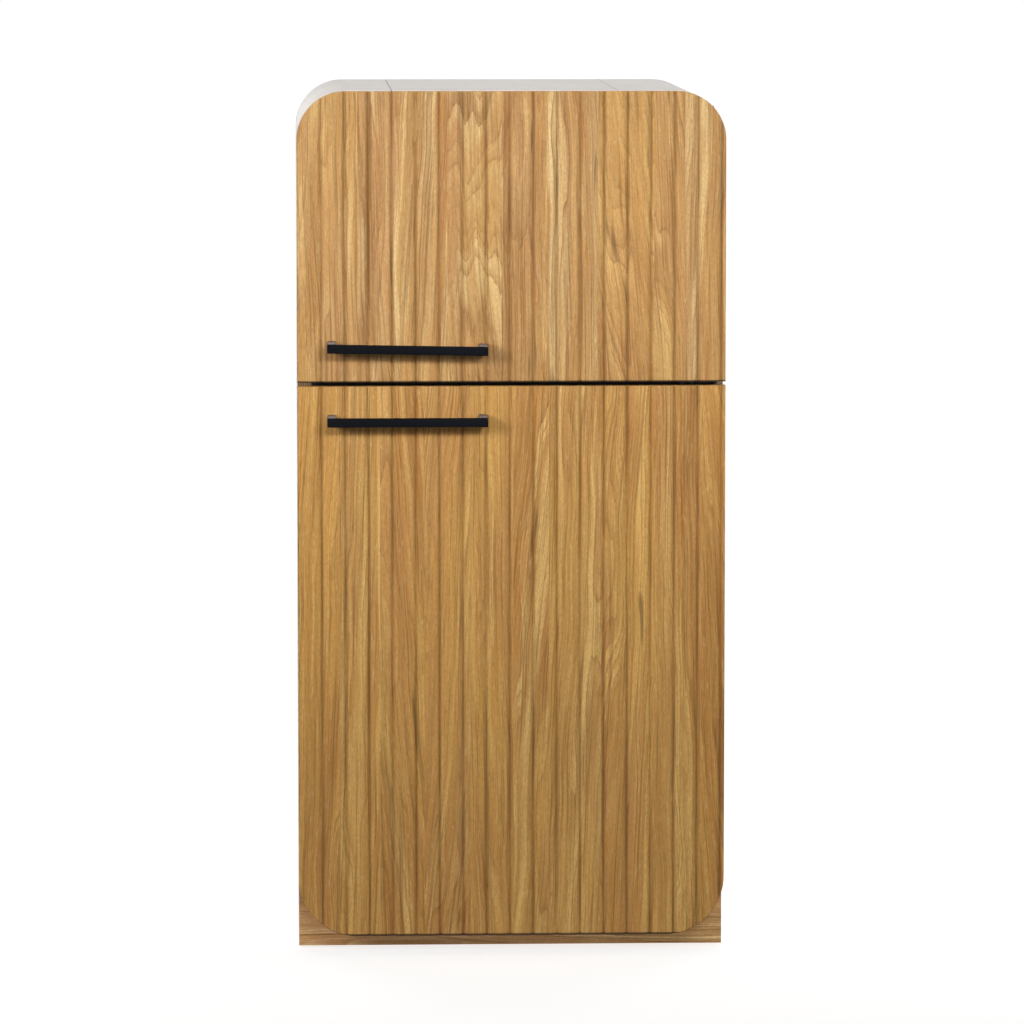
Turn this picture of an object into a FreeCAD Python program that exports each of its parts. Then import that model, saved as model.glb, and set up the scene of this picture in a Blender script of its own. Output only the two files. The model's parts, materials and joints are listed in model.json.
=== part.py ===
import FreeCAD, Part

import math
import os

import Sketcher

# A compact fridge with a freezer on top: two doors with fluted oak fronts and black bar
# handles, on a cabinet wrapped in pale laminated plywood with an oak plinth.
# Millimetres. +Z is up, the doors face -Y, the handles are on the -X side and the hinges
# on the +X side. The origin is at the middle of the bounding box's base.

DRIVING = {
    # cabinet
    "cab_width": 546,
    "cab_height": 1105,
    "body_depth": 500,
    "shell_thick": 18,
    "corner_radius": 62,
    "seam_left": 121,
    "seam_right": 135,
    "seam_width": 1.4,
    "seam_sunk": 0.4,
    "floor_gap": 3,
    "plinth_height": 110,
    "plinth_thick": 18,
    "sheet_steel": 1.2,
    "pan_lip": 12,
    "back_recess": 43,
    "foam_corner_gap": 1,
    # doors
    "door_gap": 5,
    "lower_door_start": 22,
    "upper_door_height": 369.5,
    "lower_corner_radius": 76,
    "panel_thick": 18,
    "core_thick": 20,
    "core_side_inset": 6,
    "core_split_inset": 4.5,
    "core_top_inset": 43,
    "core_above_plinth": 7,
    "gasket_room": 7,
    "gasket_gap": 0.3,
    "gasket_width": 16,
    "gasket_inset": 13,
    "gasket_base_thick": 2.5,
    "gasket_bulb_width": 9,
    # flutes
    "flute_first": 31,
    "flute_pitch": 30,
    "flute_half_width": 5,
    "flute_depth": 3,
    # handles
    "handle_reach": 34,
    "handle_bar": 11,
    "post_width": 12,
    "post_rise": 3,
    "handle_holes": 192,
    "upper_handle_from_edge": 45,
    "lower_handle_from_edge": 44,
    "handle_centre": 140,
    "upper_handle_drop": 3.6,
    "edge_easing": 0.8,
    "screw_radius": 2,
    "screw_head_radius": 4.5,
    "screw_head_thick": 3,
    "screw_bite": 12,
    # cavities
    "side_foam": 42,
    "back_foam": 46.5,
    "top_foam": 51,
    "mullion_half": 28.5,
    "floor_step": 31,
    "liner_thick": 2,
    "cavity_radius": 18,
    "bay_top": 217,
    "bay_depth": 141.5,
    "bay_foam": 36,
    "foam_below_plinth": 13,
    # shelves
    "ledge_depth": 7,
    "ledge_thick": 5,
    "shelf_from_mouth": 106.5,
    "shelf_back_gap": 12,
    "shelf_side_gap": 2,
    "glass_thick": 4,
    "trim_height": 12,
    "trim_wall": 2,
    "trim_grip": 8,
    "rack_rod_inset": 10,
    "rack_wire_inset": 5,
    "rack_rod_radius": 2.5,
    "rack_wire_radius": 1.5,
    "rack_wires": 17,
    "weld_bite": 0.4,
    # evaporators
    "evaporator_side_room": 48,
    "evaporator_top_room": 28,
    "evaporator_sheet": 1.6,
    "evaporator_standoff": 6,
    "channel_radius": 4,
    "channel_pitch": 24,
    # control box
    "control_depth": 36,
    "control_length": 170,
    "control_height": 84,
    "control_behind_shelf": 8,
    "control_below_top": 18,
    "control_radius": 8,
    "knob_radius": 19,
    "knob_height": 15,
    "knob_shaft_radius": 3,
    "knob_from_front": 40,
    "knob_lift": 0.6,
    "knob_grip_width": 6,
    "knob_mark_depth": 1,
    "running_gap": 0.05,
    "lens_length": 84,
    "lens_depth": 14,
    "lens_wall": 1.6,
    "bulb_radius": 4.5,
    "bulb_length": 46,
    # door switch
    "switch_size": 14,
    "switch_length": 34,
    "switch_below_top": 30,
    "plunger_radius": 3.5,
    "plunger_length": 24,
    "plunger_travel": 6,
    # crisper
    "crisper_ahead": 2,
    "crisper_back_gap": 9,
    "crisper_side_gap": 9,
    "crisper_headroom": 12,
    "crisper_height": 102,
    "crisper_wall": 2.2,
    "crisper_pull": 9,
    "runner_height": 2.6,
    "runner_gap": 0.4,
    "runner_width": 8,
    # door liners and bins
    "door_liner_thick": 3,
    "door_liner_side_gap": 15,
    "dyke_width": 12,
    "dyke_reach": 20,
    "bin_reach": 90,
    "bin_wall": 2.4,
    "bin_gap": 0.6,
    "bottle_bin_lift": 14,
    "bottle_bin_height": 96,
    "middle_bin_height": 70,
    "dairy_bin_height": 56,
    "freezer_bin_lift": 36,
    "freezer_bin_height": 66,
    "liner_margin": 14,
    "lid_thick": 2,
    "lid_gap": 1,
    "lid_pin_radius": 2.5,
    "lid_ear": 8,
    "lid_drop": 22,
    # hinges
    "hinge_from_side": 13,
    "hinge_behind_panel": 6,
    "pin_radius": 3.5,
    "bush_radius": 5,
    "bush_length": 16,
    "bush_flange": 1,
    "bracket_thick": 3,
    "bracket_length": 45,
    "plate_length": 22,
    "bracket_leg": 17,
    "bracket_gap": 3,
    "leg_thick": 2.5,
    "hinge_screw_radius": 2,
    "hinge_screw_head": 3.6,
    "hinge_screw_head_thick": 1.6,
    "hinge_screw_length": 16,
    # feet
    "foot_radius": 19,
    "foot_pad": 9,
    "foot_stem_radius": 5,
    "foot_stem_top": 44,
    "foot_from_side": 58,
    "foot_from_front": 52,
    "foot_hex": 17,
    "foot_hex_height": 6,
    "nut_radius": 9,
    "nut_height": 8,
    "rear_foot_radius": 15,
    "rear_foot_from_back": 40,
    "pan_height": 20,
    # compressor
    "compressor_x": -40,
    "compressor_from_back": 105.5,
    "compressor_radius": 62,
    "compressor_base": 40,
    "compressor_wall_height": 74,
    "compressor_dome": 44,
    "compressor_seam": 4,
    "ear_length": 92,
    "ear_width": 26,
    "ear_thick": 3,
    "grommet_radius": 9,
    "grommet_neck": 6,
    "relay_width": 30,
    "relay_depth": 44,
    "relay_height": 56,
    "tray_half_width": 74,
    "tray_half_depth": 58,
    "tray_height": 20,
    "tray_wall": 2,
    "drier_radius": 9,
    "drier_length": 92,
    "drier_low": 96,
    # condenser
    "pipe_radius": 2.5,
    "condenser_side_room": 50,
    "condenser_low": 290,
    "condenser_top_room": 125,
    "condenser_runs": 13,
    "condenser_offset": 18,
    "wire_radius": 0.8,
    "wire_end_room": 40,
    "wire_count": 31,
    "clip_width": 8,
    "clip_height": 16,
    "clip_from_bend": 12,
    "tube_bend": 16,
    "riser_from_shell": 23,
    "suction_x": 95,
    "capillary_radius": 1.2,
    "entry_above_bay": 23,
    # mains inlet
    "inlet_from_shell": 50,
    "inlet_width": 32,
    "inlet_height": 26,
    "inlet_depth": 24,
    "inlet_wall": 3,
    "inlet_low": 40,
    "inlet_pin_width": 2,
    "inlet_pin_height": 4,
    "inlet_pin_length": 15,
    "inlet_pin_spacing": 7,
    # cutting
    "overrun": 5,
}

# shares of the sizes that they follow
freezer_shelf_share = 0.5
upper_shelf_share = 0.638
lower_shelf_share = 0.432
middle_bin_share = 0.3728
dairy_bin_share = 0.7025
bin_corner_share = 3
runner_share = 0.8
bracket_screw_shares = (0.25, 0.77)
high_port_share = 0.85
low_port_share = 0.3
bend_room_share = 0.45

doc = FreeCAD.newDocument("Fridge")
sheet = doc.addObject("Spreadsheet::Sheet", "Sizes")


class Size:
    """A number together with the sheet expression that gives it."""

    def __init__(self, value, text):
        self.value = value
        self.text = text

    def __add__(self, other):
        other = as_size(other)
        return Size(self.value + other.value, f"({self.text} + {other.text})")

    def __sub__(self, other):
        other = as_size(other)
        return Size(self.value - other.value, f"({self.text} - {other.text})")

    def __mul__(self, other):
        other = as_size(other)
        return Size(self.value * other.value, f"({self.text} * {other.text})")

    def __truediv__(self, other):
        other = as_size(other)
        return Size(self.value / other.value, f"({self.text} / {other.text})")

    def __neg__(self):
        return Size(-self.value, f"(-1 * {self.text})")

    def __radd__(self, other):
        return as_size(other) + self

    def __rsub__(self, other):
        return as_size(other) - self

    def __rmul__(self, other):
        return as_size(other) * self


class Sizes:
    """Each driving dimension as an attribute."""


def as_size(number):
    """A plain number as a Size, and a Size as it is."""
    return number if isinstance(number, Size) else Size(number, repr(number))


d = Sizes()
for row, (alias, value) in enumerate(DRIVING.items(), start=1):
    sheet.set(f"A{row}", alias)
    sheet.set(f"B{row}", str(value))
    sheet.setAlias(f"B{row}", alias)
    setattr(d, alias, Size(value, f"Sizes.{alias}"))
doc.recompute()

V = FreeCAD.Vector
ZERO = Size(0, "0")
nodes = []

# places that several pieces share
half_width = d.cab_width / 2
half_depth = (d.handle_reach + d.panel_thick + d.core_thick + d.gasket_room + d.body_depth) / 2
body_front = half_depth - d.body_depth
core_back = body_front - d.gasket_room
panel_back = core_back - d.core_thick
panel_front = panel_back - d.panel_thick
inner_half = half_width - d.shell_thick
inner_top = d.cab_height - d.shell_thick
plinth_top = d.floor_gap + d.plinth_height
frame_back = body_front + d.sheet_steel
foam_back = half_depth - d.back_recess
upper_door_start = d.cab_height - d.upper_door_height
lower_door_top = upper_door_start - d.door_gap
hinge_x = half_width - d.hinge_from_side
hinge_y = panel_back + d.hinge_behind_panel
core_half = half_width - d.core_side_inset
lower_core_start = plinth_top + d.core_above_plinth
lower_core_top = lower_door_top - d.core_split_inset
upper_core_start = upper_door_start + d.core_split_inset
upper_core_top = d.cab_height - d.core_top_inset
pan_top = d.pan_height + d.sheet_steel

# the two cavities and what stands in them
cavity_half = inner_half - d.side_foam
cavity_back = foam_back - d.back_foam
freezer_floor = upper_door_start + d.mullion_half
freezer_top = inner_top - d.top_foam
fridge_floor = plinth_top + d.floor_step
fridge_top = lower_door_top - d.mullion_half
foam_floor = plinth_top - d.foam_below_plinth
bay_front = foam_back - d.bay_depth
hump_front = bay_front - d.bay_foam + d.liner_thick
shelf_front = body_front + d.shelf_from_mouth
shelf_back = cavity_back - d.shelf_back_gap
freezer_shelf = freezer_floor + (freezer_top - freezer_floor) * freezer_shelf_share
fridge_height = fridge_top - fridge_floor
crisper_low = fridge_floor + d.runner_height + d.runner_gap
crisper_shelf = crisper_low + d.crisper_height + d.crisper_headroom
lower_shelf = fridge_floor + fridge_height * lower_shelf_share
upper_shelf = fridge_floor + fridge_height * upper_shelf_share
door_liner_half = cavity_half - d.door_liner_side_gap
bottle_bin_low = fridge_floor + d.bottle_bin_lift
middle_bin_low = fridge_floor + fridge_height * middle_bin_share
dairy_bin_low = fridge_floor + fridge_height * dairy_bin_share
freezer_bin_low = freezer_floor + d.freezer_bin_lift

# the machinery behind
compressor_y = half_depth - d.compressor_from_back
condenser_half = inner_half - d.condenser_side_room
condenser_top = inner_top - d.condenser_top_room
condenser_pitch = (condenser_top - d.condenser_low) / (d.condenser_runs - 1)
riser_x = -inner_half + d.riser_from_shell
entry_height = d.bay_top + d.entry_above_bay
inlet_x = inner_half - d.inlet_from_shell


def node(made, name):
    """Keeps an object as the sub-part called name."""
    made.Label = name
    nodes.append(made)
    return made


def bind(made, path, size):
    """Ties one property of an object to the sheet."""
    made.setExpression(path, as_size(size).text)


def place(made, x, y, z):
    """Ties an object's position to the sheet."""
    for axis, size in zip("xyz", (x, y, z)):
        bind(made, f"Placement.Base.{axis}", size)


def box(name, x, y, z):
    """A block between two places along each axis."""
    made = doc.addObject("Part::Box", name)
    for side, (low, high) in zip(("Length", "Width", "Height"), (x, y, z)):
        bind(made, side, as_size(high) - low)
    place(made, x[0], y[0], z[0])
    return made


def rod(name, along, centre, radius, ends):
    """A round bar along one axis. centre gives the other two axes' places in order."""
    made = doc.addObject("Part::Cylinder", name)
    bind(made, "Radius", radius)
    bind(made, "Height", as_size(ends[1]) - ends[0])
    turns = {"x": (V(0, 1, 0), 90), "y": (V(1, 0, 0), -90), "z": (V(0, 0, 1), 0)}
    made.Placement = FreeCAD.Placement(V(), FreeCAD.Rotation(*turns[along]))
    base = list(centre)
    base.insert("xyz".index(along), ends[0])
    place(made, *base)
    return made


def cut(name, base, *tools):
    """The base with each tool cut away in turn."""
    for step, tool in enumerate(tools, start=1):
        last = step == len(tools)
        made = doc.addObject("Part::Cut", name if last else f"{name}_cut{step}")
        made.Base = base
        made.Tool = tool
        base = made
    return base


def fuse(name, *pieces):
    """Several touching pieces as one solid."""
    made = doc.addObject("Part::MultiFuse", name)
    made.Shapes = list(pieces)
    made.Refine = True
    return made


def group(name, pieces):
    """Separate solids of one kind, kept together."""
    made = doc.addObject("Part::Compound", name)
    made.Links = list(pieces)
    return made


def fixed_shape(name, shape):
    """A sub-part whose shape is worked out here from the sheet's sizes."""
    made = doc.addObject("Part::Feature", name)
    made.Shape = shape
    made.Placement = FreeCAD.Placement()
    return made


def origin_feature(body, role):
    """One of a body's own origin planes or axes."""
    return [feature for feature in body.Origin.OriginFeatures if feature.Role == role][0]


def new_sketch(body, name, plane, offset=None):
    """An empty sketch on one of its body's origin planes, moved along the plane's normal."""
    made = body.newObject("Sketcher::SketchObject", name)
    made.AttachmentSupport = [(origin_feature(body, plane), "")]
    made.MapMode = "FlatFace"
    if offset is not None:
        bind(made, "AttachmentOffset.Base.z", offset)
    return made


def constrain(sketch, kind, parts, size):
    """A dimension of a sketch, tied to the sheet."""
    index = sketch.addConstraint(Sketcher.Constraint(kind, *parts, size.value))
    bind(sketch, f"Constraints[{index}]", size)


def outline(sketch, corners):
    """A closed outline of level and upright lines. Each corner is (x, y, radius or None)."""
    corners = [(as_size(x), as_size(y), radius) for x, y, radius in corners]
    count = len(corners)
    points = [V(x.value, y.value, 0) for x, y, radius in corners]
    before, after = [], []
    for index, (x, y, radius) in enumerate(corners):
        reach = radius.value if radius else 0
        here = points[index]
        before.append(here + (points[index - 1] - here).normalize() * reach)
        after.append(here + (points[(index + 1) % count] - here).normalize() * reach)
    lines, arcs = [], {}
    for index in range(count):
        following = (index + 1) % count
        segment = Part.LineSegment(after[index], before[following])
        lines.append(sketch.addGeometry(segment, False))
    for index, (x, y, radius) in enumerate(corners):
        if radius:
            centre = before[index] + after[index] - points[index]
            rim = [before[index] - centre, after[index] - centre]
            leftward = rim[0].cross(rim[1]).z > 0
            if not leftward:
                rim.reverse()
            start, end = (math.atan2(spoke.y, spoke.x) for spoke in rim)
            circle = Part.Circle(centre, V(0, 0, 1), radius.value)
            end += math.tau if end < start else 0
            arc = sketch.addGeometry(Part.ArcOfCircle(circle, start, end), False)
            arcs[index] = (arc, 1 if leftward else 2)
    for index, line in enumerate(lines):
        x, y, radius = corners[index]
        level = abs(points[index].y - points[(index + 1) % count].y) < 1e-9
        sketch.addConstraint(Sketcher.Constraint("Horizontal" if level else "Vertical", line))
        kind, size = ("DistanceY", y) if level else ("DistanceX", x)
        constrain(sketch, kind, (-1, 1, line, 1), size)
    for index, line in enumerate(lines):
        if index not in arcs:
            sketch.addConstraint(Sketcher.Constraint("Coincident", lines[index - 1], 2, line, 1))
            continue
        arc, first = arcs[index]
        sketch.addConstraint(Sketcher.Constraint("Tangent", lines[index - 1], 2, arc, first))
        sketch.addConstraint(Sketcher.Constraint("Tangent", line, 1, arc, 3 - first))
        constrain(sketch, "Radius", (arc,), corners[index][2])
    return sketch


def pad(body, sketch, name, length):
    """The sketch pushed out along its normal."""
    made = body.newObject("PartDesign::Pad", name)
    made.Profile = sketch
    bind(made, "Length", length)
    return made


def slab(name, corners, front, back):
    """A body with an upright outline in X and Z, between two places in Y."""
    body = doc.addObject("PartDesign::Body", name)
    sketch = new_sketch(body, f"{name}_outline", "XZ_Plane", -as_size(back))
    outline(sketch, corners)
    pad(body, sketch, f"{name}_pad", as_size(back) - front)
    return body


def frame_corners(half, low, high, low_radius=None, high_radius=None):
    """The corners of an upright rectangle that is centred on X."""
    return [
        (-half, low, low_radius),
        (half, low, low_radius),
        (half, high, high_radius),
        (-half, high, high_radius),
    ]


# shell

def side_wrap(name, side, seam):
    """A side panel whose top bends over the corner and runs to its seam."""
    outer = half_width * side
    inner = inner_half * side
    seam_x = (half_width - seam) * side
    body = slab(
        name,
        [
            (outer, d.floor_gap, None),
            (outer, d.cab_height, d.corner_radius),
            (seam_x, d.cab_height, None),
            (seam_x, inner_top, None),
            (inner, inner_top, d.corner_radius - d.shell_thick),
            (inner, d.floor_gap, None),
        ],
        body_front,
        half_depth,
    )
    near, far = (outer, inner) if side < 0 else (inner, outer)
    notch = new_sketch(body, f"{name}_notch", "XZ_Plane", -body_front - d.plinth_thick)
    outline(
        notch,
        [
            (near - d.overrun, d.floor_gap - d.overrun, None),
            (far + d.overrun, d.floor_gap - d.overrun, None),
            (far + d.overrun, plinth_top, None),
            (near - d.overrun, plinth_top, None),
        ],
    )
    pocket = body.newObject("PartDesign::Pocket", f"{name}_plinth_notch")
    pocket.Profile = notch
    pocket.Reversed = True
    bind(pocket, "Length", d.plinth_thick + d.overrun)
    return node(body, name)


def top_of_shell():
    """The flat top panel and the thin strips that fill its two seams."""
    left = -half_width + d.seam_left
    right = half_width - d.seam_right
    top = box(
        "top_panel",
        (left + d.seam_width, right - d.seam_width),
        (body_front, half_depth),
        (inner_top, d.cab_height),
    )
    node(top, "top_panel")
    strips = []
    for side, low in (("left", left), ("right", right - d.seam_width)):
        strips.append(
            box(
                f"{side}_seam_strip",
                (low, low + d.seam_width),
                (body_front, half_depth),
                (inner_top, d.cab_height - d.seam_sunk),
            )
        )
    node(group("top_seam_strips", strips), "top_seam_strips")


def plinth():
    """The full-width board under the lower door, tapped for the bottom hinge's screws."""
    board = box(
        "plinth_board",
        (-half_width, half_width),
        (body_front, body_front + d.plinth_thick),
        (d.floor_gap, plinth_top),
    )
    node(cut("plinth_front", board, *hinge_screw_holes("plinth", "bottom")), "plinth_front")


def foam():
    """The insulation between the liners, the shell, the bay panel and the back panel."""
    block = slab(
        "foam_block",
        frame_corners(
            inner_half,
            foam_floor,
            inner_top,
            None,
            d.corner_radius - d.shell_thick + d.foam_corner_gap,
        ),
        frame_back,
        foam_back,
    )
    plinth_room = box(
        "foam_plinth_room",
        (-inner_half - d.overrun, inner_half + d.overrun),
        (frame_back - d.overrun, body_front + d.plinth_thick),
        (foam_floor - d.overrun, plinth_top),
    )
    bay_room = box(
        "foam_bay_room",
        (-inner_half - d.overrun, inner_half + d.overrun),
        (bay_front, foam_back + d.overrun),
        (foam_floor - d.overrun, d.bay_top),
    )
    made = cut(
        "foam_insulation",
        block,
        plinth_room,
        bay_room,
        cavity_block("foam_freezer_room", d.liner_thick, "freezer"),
        cavity_block("foam_fridge_room", d.liner_thick, "fridge"),
        *hinge_screw_holes("foam", "top"),
        *hinge_screw_holes("foam", "middle"),
    )
    node(made, "foam_insulation")


def cavity_block(name, grow, which):
    """The space of one cavity, grown by a wall on all sides but its mouth."""
    low, high = {
        "freezer": (freezer_floor, freezer_top),
        "fridge": (fridge_floor, fridge_top),
    }[which]
    front = frame_back - d.overrun
    if not grow:
        front = front - d.overrun
    whole = slab(
        f"{name}_space",
        frame_corners(cavity_half + grow, low - grow, high + grow, d.cavity_radius,
                      d.cavity_radius),
        front,
        cavity_back + grow,
    )
    if which == "freezer":
        return whole
    hump = box(
        f"{name}_hump",
        (-inner_half, inner_half),
        (hump_front - d.liner_thick + grow, cavity_back + d.bay_foam),
        (fridge_floor - d.bay_foam, d.bay_top + d.bay_foam + d.liner_thick - grow),
    )
    return cut(name, whole, hump)


def mouth(name, half, low, high, front, back):
    """A block that opens a hole through a thin upright sheet."""
    return slab(name, frame_corners(half, low, high, d.cavity_radius, d.cavity_radius), front, back)


def front_frame():
    """The steel frame round both cavity mouths that the door seals close on."""
    sheet_body = slab(
        "front_frame_sheet",
        frame_corners(
            inner_half,
            plinth_top,
            inner_top,
            None,
            d.corner_radius - d.shell_thick + d.foam_corner_gap,
        ),
        body_front,
        frame_back,
    )
    holes = [
        mouth(f"frame_{name}_mouth", cavity_half, low, high,
              body_front - d.overrun, frame_back + d.overrun)
        for name, low, high in (
            ("freezer", freezer_floor, freezer_top),
            ("fridge", fridge_floor, fridge_top),
        )
    ]
    holes += hinge_screw_holes("frame", "top")
    holes += hinge_screw_holes("frame", "middle")
    node(cut("front_frame", sheet_body, *holes), "front_frame")


def ledges(name, height):
    """A pair of moulded ledges on the side walls, whose top is at a height."""
    made = []
    for side in (-1, 1):
        wall = cavity_half + d.liner_thick / 2
        reach = cavity_half - d.ledge_depth
        x = (reach, wall) if side > 0 else (-wall, -reach)
        made.append(
            box(
                f"{name}_{'right' if side > 0 else 'left'}_ledge",
                x,
                (shelf_front, shelf_back),
                (height - d.ledge_thick, height),
            )
        )
    return made


def liner(which, heights):
    """A moulded liner, open at the front, with its shelf ledges."""
    outer = cavity_block(f"{which}_outer", d.liner_thick, which)
    inner = cavity_block(f"{which}_inner", ZERO, which)
    mouth_cut = box(
        f"{which}_mouth_cut",
        (-half_width, half_width),
        (frame_back - d.overrun * 2, frame_back),
        (ZERO, d.cab_height),
    )
    shell = cut(f"{which}_liner_shell", outer, inner, mouth_cut)
    steps = []
    for index, height in enumerate(heights):
        steps += ledges(f"{which}_{index}", height)
    node(fuse(f"{which}_liner", shell, *steps), f"{which}_liner")


def bay_panel():
    """The bent steel sheet under the foam that rises and folds over the compressor."""
    width = (-inner_half, inner_half)
    floor = box(
        "bay_floor_sheet",
        width,
        (body_front + d.plinth_thick, bay_front),
        (foam_floor - d.sheet_steel, foam_floor),
    )
    riser = box(
        "bay_riser_sheet",
        width,
        (bay_front, bay_front + d.sheet_steel),
        (foam_floor - d.sheet_steel, d.bay_top),
    )
    ceiling = box(
        "bay_ceiling_sheet",
        width,
        (bay_front, foam_back),
        (d.bay_top - d.sheet_steel, d.bay_top),
    )
    node(fuse("bay_panel", floor, riser, ceiling), "bay_panel")


def back_panel():
    """The thin steel sheet that closes the foam behind, with the pipes' holes."""
    sheet_body = slab(
        "back_sheet",
        frame_corners(
            inner_half,
            d.bay_top - d.sheet_steel,
            inner_top,
            None,
            d.corner_radius - d.shell_thick + d.foam_corner_gap,
        ),
        foam_back,
        foam_back + d.sheet_steel,
    )
    node(sheet_body, "back_panel")


def base_pan():
    """The steel pan under the machinery: its rear lip and the weld nuts of the screw feet."""
    pan = box(
        "base_pan_sheet",
        (-inner_half, inner_half),
        (body_front + d.plinth_thick, half_depth - d.sheet_steel),
        (d.pan_height, pan_top),
    )
    lip = box(
        "base_pan_lip",
        (-inner_half, inner_half),
        (half_depth - d.sheet_steel * 2, half_depth - d.sheet_steel),
        (d.pan_height, pan_top + d.pan_lip),
    )
    nuts = [
        hexagon(f"pan_{name}_weld_nut", x, foot_y, d.pan_height, pan_top + d.nut_height,
                d.nut_radius)
        for name, x in foot_places
    ]
    blank = fuse("base_pan_blank", pan, lip, *nuts)
    holes = [
        rod(f"pan_{name}_stem_hole", "z", (x, foot_y), d.foot_stem_radius + d.running_gap,
            (d.pan_height - d.overrun, pan_top + d.nut_height + d.overrun))
        for name, x in foot_places
    ]
    node(cut("base_pan", blank, *holes), "base_pan")


# feet

foot_x = half_width - d.foot_from_side
foot_y = body_front + d.foot_from_front
foot_places = (("left", -foot_x), ("right", foot_x))


def hexagon(name, x, y, low, high, across_radius):
    """A hexagonal collar about an upright axis."""
    made = doc.addObject("Part::Prism", name)
    made.Polygon = 6
    bind(made, "Circumradius", across_radius)
    bind(made, "Height", high - low)
    place(made, x, y, low)
    return made


def feet():
    """Two screw feet in front and two plain feet behind."""
    for name, x in foot_places:
        foot_pad = rod(f"{name}_foot_pad", "z", (x, foot_y), d.foot_radius, (ZERO, d.foot_pad))
        collar = hexagon(f"{name}_foot_collar", x, foot_y, d.foot_pad,
                         d.foot_pad + d.foot_hex_height, d.foot_hex / 2)
        stem = rod(f"{name}_foot_stem", "z", (x, foot_y), d.foot_stem_radius,
                   (d.foot_pad, d.foot_stem_top))
        node(fuse(f"front_{name}_foot", foot_pad, collar, stem), f"front_{name}_foot")
    rear = [
        rod(f"{name}_rear_foot", "z", (x, half_depth - d.rear_foot_from_back),
            d.rear_foot_radius, (ZERO, d.pan_height))
        for name, x in foot_places
    ]
    node(group("rear_feet", rear), "rear_feet")


# freezer and fridge fittings

def wire_shelf():
    """The freezer's rack: two long rods with cross wires welded on top."""
    half = cavity_half - d.shelf_side_gap
    rod_z = freezer_shelf + d.rack_rod_radius
    rails = [
        rod(f"rack_rail_{index}", "x", (y, rod_z), d.rack_rod_radius, (-half, half))
        for index, y in enumerate((shelf_front + d.rack_rod_inset,
                                    shelf_back - d.rack_rod_inset))
    ]
    wire_z = rod_z + d.rack_rod_radius + d.rack_wire_radius - d.weld_bite
    count = int(d.rack_wires.value)
    step = (half - d.rack_wire_inset) * 2 / (count - 1)
    wires = [
        rod(f"rack_wire_{index}", "y", (-half + d.rack_wire_inset + step * index, wire_z),
            d.rack_wire_radius, (shelf_front, shelf_back))
        for index in range(count)
    ]
    node(fuse("freezer_wire_shelf", *rails, *wires), "freezer_wire_shelf")


def evaporator(name, low):
    """A cold plate on the rear wall, with its raised coolant channels."""
    plate_back = cavity_back - d.evaporator_standoff
    half = cavity_half - d.evaporator_side_room
    height = fridge_top - d.evaporator_top_room - low
    plate = box(
        f"{name}_sheet",
        (-half, half),
        (plate_back - d.evaporator_sheet, plate_back),
        (low, low + height),
    )
    count = int(height.value // d.channel_pitch.value)
    reach = half - d.channel_pitch
    channels = [
        rod(f"{name}_channel_{index}", "x",
            (plate_back - d.evaporator_sheet / 2, low + d.channel_pitch / 2
             + d.channel_pitch * index),
            d.channel_radius / 2, (-reach, reach))
        for index in range(count)
    ]
    posts = [
        rod(f"{name}_standoff_{x_index}_{z_index}", "y", (x, z), d.channel_radius,
            (plate_back - d.evaporator_sheet / 2, cavity_back))
        for x_index, x in enumerate((-reach - d.channel_radius * 3, reach + d.channel_radius * 3))
        for z_index, z in enumerate((low + d.channel_pitch / 2,
                                     low + height - d.channel_pitch / 2))
    ]
    node(fuse(name, plate, *channels, *posts), name)


def glass_shelves():
    """Three glass panes on their ledges, each with a moulded front trim."""
    half = cavity_half - d.shelf_side_gap
    panes, trims = [], []
    for name, low in (
        ("upper_pane", upper_shelf),
        ("lower_pane", lower_shelf),
        ("crisper_cover", crisper_shelf),
    ):
        front = shelf_front + d.trim_wall
        panes.append(
            box(name, (-half, half), (front, shelf_back), (low, low + d.glass_thick))
        )
        lift = d.ledge_thick
        bar = box(
            f"{name}_trim_bar",
            (-half + d.ledge_depth, half - d.ledge_depth),
            (shelf_front, front + d.trim_grip),
            (low - (d.trim_height - d.glass_thick) / 2, low + (d.trim_height + d.glass_thick) / 2),
        )
        slot = box(
            f"{name}_trim_slot",
            (-half - lift, half + lift),
            (front, front + d.trim_grip + d.overrun),
            (low, low + d.glass_thick),
        )
        trims.append(cut(f"{name}_trim", bar, slot))
    node(group("glass_shelves", panes[:2]), "glass_shelves")
    node(panes[2], "crisper_cover")
    node(group("shelf_trims", trims), "shelf_trims")


control_x = cavity_half - d.control_depth
control_front = shelf_front + d.control_behind_shelf
control_top = fridge_top - d.control_below_top
control_low = control_top - d.control_height
knob_y = control_front + d.knob_from_front
knob_z = control_low + d.control_height / 2
lens_start = control_front + d.control_length - d.lens_length - d.control_radius


def side_slab(name, corners, low_x, high_x):
    """A body with an upright outline in Y and Z, between two places in X."""
    body = doc.addObject("PartDesign::Body", name)
    sketch = new_sketch(body, f"{name}_outline", "YZ_Plane", as_size(low_x))
    outline(sketch, corners)
    pad(body, sketch, f"{name}_pad", as_size(high_x) - low_x)
    return body


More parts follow.
